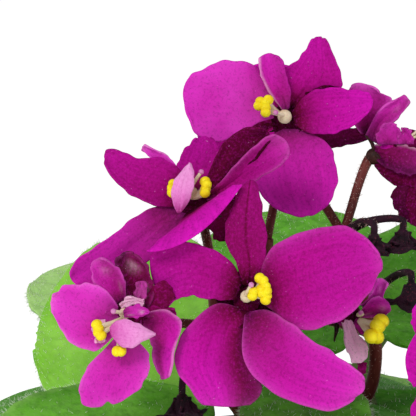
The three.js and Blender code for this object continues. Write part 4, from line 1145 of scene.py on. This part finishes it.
def outlined(form, s, a, ragged, wave):
    """A lobe between its two drawn edges, rounded off past their ends."""
    ends = np.array([0.85, 1.0])
    middle = (drawn(form["left"], ends) + drawn(form["right"], ends)) / 2
    ahead = unit(middle[1] - middle[0])
    left, right = drawn(form["left"], s), drawn(form["right"], s)
    gap = np.linalg.norm(left - right, axis=1)
    ragged = ragged * np.minimum(1, gap / 5)
    tip_gap = np.linalg.norm(drawn(form["left"], ends[1:]) - drawn(form["right"], ends[1:]))
    flat = (left + right) / 2 + (left - right) / 2 * (a * (1 + 2 * ragged / np.maximum(gap, 1)))[:, None]
    notch = form.get("notch", 0) * np.exp(-(a / 0.16) ** 2)
    reach = (form.get("bulge", 0.3) * tip_gap * (1 - a * a) - notch) * s ** 5 + ragged * s
    flat = flat + reach[:, None] * ahead
    root, mid, end = form["near"]
    near = root * (1 - s) * (1 - 2 * s) + mid * 4 * s * (1 - s) + end * s * (2 * s - 1)
    near = near + form.get("cup", 0.5) * a * a * s + wave
    return np.column_stack([flat, near])


def lobe_piece(form, centre, look, seed, rows=26, columns=22):
    """A lobe with its thickness, and how dark (painted shade and its own dark tone), pale (its own paler
    colour and painted light) and white (its own white, with painted highlights) it is from place to place.
    """
    on_right, on_left = np.broadcast_to(form.get("dusk", 0.0), 2)
    darker_side = 1 if on_left >= on_right else -1
    drawn_rows = (lambda t: t) if "left" in form else (lambda t: 1 - (1 - t) ** 1.3)

    # Painted shade, with the lobe's own dark tone, stronger on its darker side.
    def dusk(t, a):
        side = np.clip((darker_side * a + 0.15) / 0.75, 0, 1)
        return min(on_left, on_right) + abs(on_left - on_right) * side

    # The wash is partly the lobe's own paler colour and partly painted light; the margin is its own paler
    # edge.
    def pale(t, a):
        return form.get("wash", 0) + form.get("pale", 0) * np.maximum(np.abs(a) ** 4, t ** 6)

    def white(t, a):
        # The rim is a painted highlight along the left edge; the patch is two pale spots, partly the lobe's
        # own pale marks and partly painted highlights.
        rim = form.get("rim", 0) * np.clip(a - 0.78, 0, 1) * 3.6
        high = np.exp(-((t - 0.72) / 0.09) ** 2 - ((a + 0.1 - 0.5 * (t - 0.7)) / 0.34) ** 2)
        low = np.exp(-((t - 0.3) / 0.1) ** 2 - ((a + 0.5) / 0.14) ** 2)
        speckle = 0.7 + 0.5 * np.sin(31 * t + 9 * a) * np.sin(13 * a + 8 * t)
        patch = form.get("patch", 0) * (high + low) * speckle
        margin = form.get("pale", 0) * 0.16 * np.maximum(np.abs(a) ** 14, t ** 18)
        return np.clip(form.get("white", 0) + rim + patch + margin, 0, 1)

    piece = sheet_grid(
        "lobe", rows, columns,
        lambda t, a: shown(lobe_surface(form, drawn_rows(t), a, seed) + centre), look,
        dict(dusk=dusk, pale=pale, white=white, rib=lambda t, a: form.get("rib", 0.0)))
    return walled(piece, PETAL["thickness"])


def throat_cup(centre, ahead, reach):
    """The funnel in which the lobes join, behind their roots, painted dark all over as shade."""
    side = unit(np.cross(ahead, (0.3, 1.0, 0.2)))
    over = np.cross(ahead, side)

    def at(s, a):
        turn = np.pi * a
        out = (THROAT["eye"] + (reach - THROAT["eye"]) * s) * (1 + 0.1 * s * np.cos(5 * turn))
        depth = -THROAT["depth"] + THROAT["rise"] * s ** 0.8
        around = np.cos(turn)[:, None] * side + np.sin(turn)[:, None] * over
        return shown(centre + out[:, None] * around + depth[:, None] * ahead)

    cup = merged(sheet_grid("throat_cup", 6, 30, at, PETAL_LOOK, dict(dusk=lambda s, a: 1.0)))
    return walled(cup, THROAT["thickness"])


def stance(bloom):
    """The centre of a bloom's mouth, and the way that it faces."""
    return np.array(bloom["centre"], float), unit(np.array(bloom["facing"], float))


def make_corolla(name, bloom):
    """The lobes of a bloom, with its throat, ovary, style and stigma."""
    centre, ahead = stance(bloom)
    pieces = [
        lobe_piece(form, centre, PETAL_LOOK, ord(name) + 1.7 * k)
        for k, form in enumerate(bloom["lobes"])
    ]
    pieces.append(throat_cup(centre, ahead, bloom.get("throat", THROAT["reach"])))
    throat = [shown(centre + ahead * reach) for reach in (-0.6, -1.2, -TUBE["length"])]
    pieces.append(tube("throat", throat, lambda t: TUBE["radius"] * (1.15 - 0.35 * t), PETAL_LOOK,
                       sides=14, steps=6))
    style = np.array(bloom["style"])
    swell = ahead * OVARY["ahead"] + style * OVARY["lean"]
    share = bloom.get("ovary", OVARY["share"])
    girth, length = OVARY["radius"] * share, OVARY["length"] * share
    pieces.append(ball("ovary", shown(centre + swell), (girth, girth, length), CREAM_LOOK, ahead @ DISPLAY))
    neck = [shown(centre + point) for point in (swell, swell + ahead * STYLE["neck"], style)]
    pieces.append(tube("style", neck, lambda t: STYLE["radius"] - STYLE["taper"] * t, CREAM_LOOK,
                       sides=8, steps=8))
    pieces.append(ball("stigma", shown(centre + style), STIGMA, STIGMA_LOOK, NEAR))
    whole(f"bloom_{name}_petals", pieces, "petal", f"bloom_{name}_petals")


def make_anthers(name, bloom):
    """Each anther is a pair of lobes at the end of its filament."""
    centre, ahead = stance(bloom)
    heads = [np.array(head) for head in bloom["anthers"]]
    lean = sum(heads)
    aside = unit(lean - np.dot(lean, ahead) * ahead)
    foot = ahead * ANTHER["lift"] + aside
    size = ANTHER["radius"] * bloom.get("anther_size", 1)
    girth = bloom.get("filament", ANTHER["filament"])
    pieces = []
    for k, head in enumerate(heads):
        across = unit(np.cross(head - foot, ahead) + 1e-3)
        axis = unit(head - foot + across * 0.2 * k) @ DISPLAY
        for sign in (-1, 1):
            spot = head + across * sign * ANTHER["apart"] * size
            pieces.append(ball("anther", shown(centre + spot), (size * 0.8, size * 0.74, size * 0.88),
                               ANTHER_LOOK, axis, segments=14, rings=10))
        bend = (foot + head) / 2 + aside * ANTHER["bend"]
        filament = [shown(centre + point) for point in (foot, bend, head)]
        pieces.append(tube("filament", filament, lambda t: girth + ANTHER["flare"] * t, CREAM_LOOK,
                           sides=8, steps=8))
    whole(f"bloom_{name}_anthers", pieces, "anther", f"bloom_{name}_anthers")


def make_petaloid(name, bloom):
    centre, _ = stance(bloom)
    piece = lobe_piece(bloom["petaloid"], centre, PETALOID_LOOK, seed=3.1, rows=18, columns=12)
    whole(f"bloom_{name}_petaloid", [piece], "pale_petal", f"bloom_{name}_petaloid")


def plain_bloom(centre, facing, spin):
    """A bloom of the plain pattern, spun and then turned to the way that it faces."""
    ahead = Vector(facing).normalized()
    turn = Vector((0, 0, 1)).rotation_difference(ahead)

    def turned_to(point):
        return tuple(turn @ Vector(spin_about(np.array(point, float), (0, 0, 1), spin)))

    return dict(
        centre=centre, facing=facing,
        lobes=[dict(form, facing=facing, tip=turned_to(form["tip"])) for form in PLAIN_LOBES],
        anthers=[turned_to(head) for head in PLAIN_ANTHERS], style=turned_to(PLAIN_STYLE))


def make_spent(name, centre, droop, spread, start):
    """A shrivelled bloom: narrow twisted lobes that hang from one point, the last of them inside."""
    draw = np.random.default_rng(SHOOT_SEED + ord(name))
    centre = np.array(centre)
    count = SPENT_LOBES["count"]
    pieces = []
    for k in range(count + 1):
        inside = k == count
        turn = math.radians(start + 360 * k / count + (45 if inside else 0))
        fall = droop * (0.85 + 0.15 * math.cos(3 * turn))
        reach = spread * (0.4 if inside else 1)
        form = lobe((reach * math.cos(turn), -fall, reach * math.sin(turn)), SPENT_LOBES["width"],
                    SPENT_LOBES["belly"], SPENT_LOBES["bow"], SPENT_LOBES["cup"],
                    side=(-math.sin(turn), 0, math.cos(turn)), ruffle=0.5, fold=0.6)
        crumple = draw.uniform(0, 6, 6)

        def at(t, a, form=form, crumple=crumple):
            face = lobe_surface(form, t, a, crumple[0])
            creases = 0.42 * np.sin(9 * t + crumple[1] + 2 * a) * np.sin(4 * a + crumple[2]) * t
            face[:, 0] += creases + 0.3 * np.sin(14 * t + crumple[3]) * t
            face[:, 2] += 0.4 * np.sin(11 * t + 3 * a + crumple[4]) * t
            return shown(face + centre)

        pieces.append(walled(sheet_grid("shred", 16, 10, at, SPENT_LOOK), SPENT_LOBES["thickness"]))
    pieces.append(ball("knot", shown(centre + (0, -1.0, 0)), (1.1, 1.1, 1.0), SPENT_LOOK))
    whole(f"spent_bloom_{name}", pieces, "spent_petal", f"spent_bloom_{name}")


# ---- Flower stalks ----
def sepal_piece(heart, out, ahead):
    """A narrow pointed sepal, keeled along its back."""
    over = unit(np.cross(out, ahead))
    tip = heart + out * SEPAL["length"] + ahead * 0.6

    def at(s, a):
        half = SEPAL["radius"] * (1 - s) ** 0.7 * np.minimum(1, 0.55 + 1.6 * s)
        line = heart + (tip - heart) * s[:, None]
        lift = 0.5 * np.sin(np.pi * s) - 0.45 * (1 - a * a) * (1 - s)
        return line + (a * half)[:, None] * over + lift[:, None] * ahead

    return walled(sheet_grid("sepal", 10, 6, at, CALYX_LOOK), SEPAL["thickness"])


def spent_pedicel(way, centre):
    """A withered pedicel that hooks down into a spent bloom, and its path."""
    path = way + [centre + (0, 0, SPENT_LOBES["hook"]), centre + (0, 0, SPENT_LOBES["hold"])]
    pedicel = tube("pedicel", path, lambda t: PEDICEL["radius"] * (1 - 0.25 * t), SPENT_LOOK,
                   sides=10, steps=22)
    return path, [pedicel]


def fresh_pedicel(way, bloom):
    """A pedicel with the calyx and sepals that hold a bloom, and its path."""
    centre, facing = stance(bloom)
    ahead = facing @ DISPLAY
    heart = shown(centre) - ahead * (TUBE["length"] + PEDICEL["gap"] + PEDICEL["bud"])
    path = way + [heart - ahead * bloom.get("neck", PEDICEL["neck"]), heart]
    pieces = [
        tube("pedicel", path, lambda t: PEDICEL["radius"] * (1 + 0.25 * t ** 8), STEM_LOOK,
             sides=10, steps=26),
        ball("calyx", heart, (PEDICEL["bud"],) * 3, CALYX_LOOK, ahead),
    ]
    side = unit(np.cross((1.0, 0, 0), ahead))
    for k in range(SEPAL["count"]):
        turn = bloom.get("sepal_turn", 0) + 360 * k / SEPAL["count"]
        pieces.append(sepal_piece(heart, spin_about(side, ahead, turn), ahead))
    return path, pieces


def make_stalk(name, stalk, blooms, index):
    """A trunk, the pedicels that it carries, and their hairs."""
    draw = np.random.default_rng(SHOOT_SEED + 100 + index)
    foot = turn_about("z", stalk["heading"]) @ np.array((TRUNK["root"], 0, stalk["height"]))
    trunk = [foot] + stalk["trunk"]
    pieces = [tube("trunk", trunk, lambda t: TRUNK["radius"] * (1.06 - 0.12 * t + 0.03 * np.sin(40 * t)),
                   STEM_LOOK, sides=12, steps=40)]
    hairy = [(trunk, TRUNK["radius"], HAIRS["trunk"])]
    for carried, way in stalk["carries"].items():
        if carried in SPENT:
            path, made = spent_pedicel(way, shown(SPENT[carried]["centre"]))
        else:
            path, made = fresh_pedicel(way, blooms[carried])
        pieces += made
        hairy.append((path, PEDICEL["radius"], HAIRS["spent" if carried in SPENT else "pedicel"]))
    for path, radius, count in hairy:
        pieces.append(stem_hairs(path, radius, count, draw, STEM_HAIR_LOOK, LONGEST_HAIR["stalk"]))
    whole(f"flower_stalk_{name}", pieces, "stalk", f"flower_stalk_{name}")


# ---- The plant ----
make_pot()
make_soil()
make_crown()
for index, numbers in enumerate(LEAVES):
    make_leaf(index, numbers)
all_blooms = dict(BLOOMS)
for name, spec in FAR_BLOOMS.items():
    all_blooms[name] = plain_bloom(**spec)
for name, bloom in all_blooms.items():
    make_corolla(name, bloom)
    make_anthers(name, bloom)
    if "petaloid" in bloom:
        make_petaloid(name, bloom)
for name, spec in SPENT.items():
    make_spent(name, **spec)
for index, (name, stalk) in enumerate(STALKS.items()):
    make_stalk(name, stalk, all_blooms, index)


# ---- Floor, light and camera ----
def floor_sheet():
    deselect()
    bpy.ops.mesh.primitive_plane_add(size=FLOOR_SIZE)
    floor = bpy.context.object
    floor.name = "floor"
    look = Finish("white floor", Roughness=0.9, Emission_Color=shade(1, 1, 1), Emission_Strength=FLOOR_GLOW)
    tone = look.noise(look.place(), 6, 2.0)
    look.colour(look.blend(tone, shade(0.92, 0.92, 0.92), shade(0.94, 0.94, 0.94)))
    floor.data.materials.append(look.material)


def soft_light(name, place, size, watts):
    data = bpy.data.lights.new(name, "AREA")
    data.shape = "DISK"
    data.size = size
    data.energy = watts
    lamp = linked(name, data)
    lamp.location = place
    lamp.rotation_euler = (Vector(LIGHT_AIM) - Vector(place)).to_track_quat("-Z", "Y").to_euler()


def set_world():
    world = bpy.data.worlds.new("studio")
    bpy.context.scene.world = world
    world.use_nodes = True
    background = world.node_tree.nodes["Background"]
    background.inputs["Color"].default_value = shade(1, 1, 1)
    background.inputs["Strength"].default_value = WORLD_GLOW


def set_camera():
    data = bpy.data.cameras.new("camera")
    data.sensor_width = SENSOR
    data.lens = SENSOR * VIEW_DISTANCE / VIEW_WIDTH
    data.clip_end = FAR_CLIP
    camera = linked("camera", data)
    camera.location = Vector(VIEW_CENTRE + NEAR * VIEW_DISTANCE) * MM
    camera.rotation_euler = (math.pi / 2 - VIEW_TILT, 0, 0)
    bpy.context.scene.camera = camera


floor_sheet()
set_world()
for name, light in LIGHTS.items():
    soft_light(name, **light)
set_camera()
bpy.context.scene.view_settings.view_transform = "Standard"
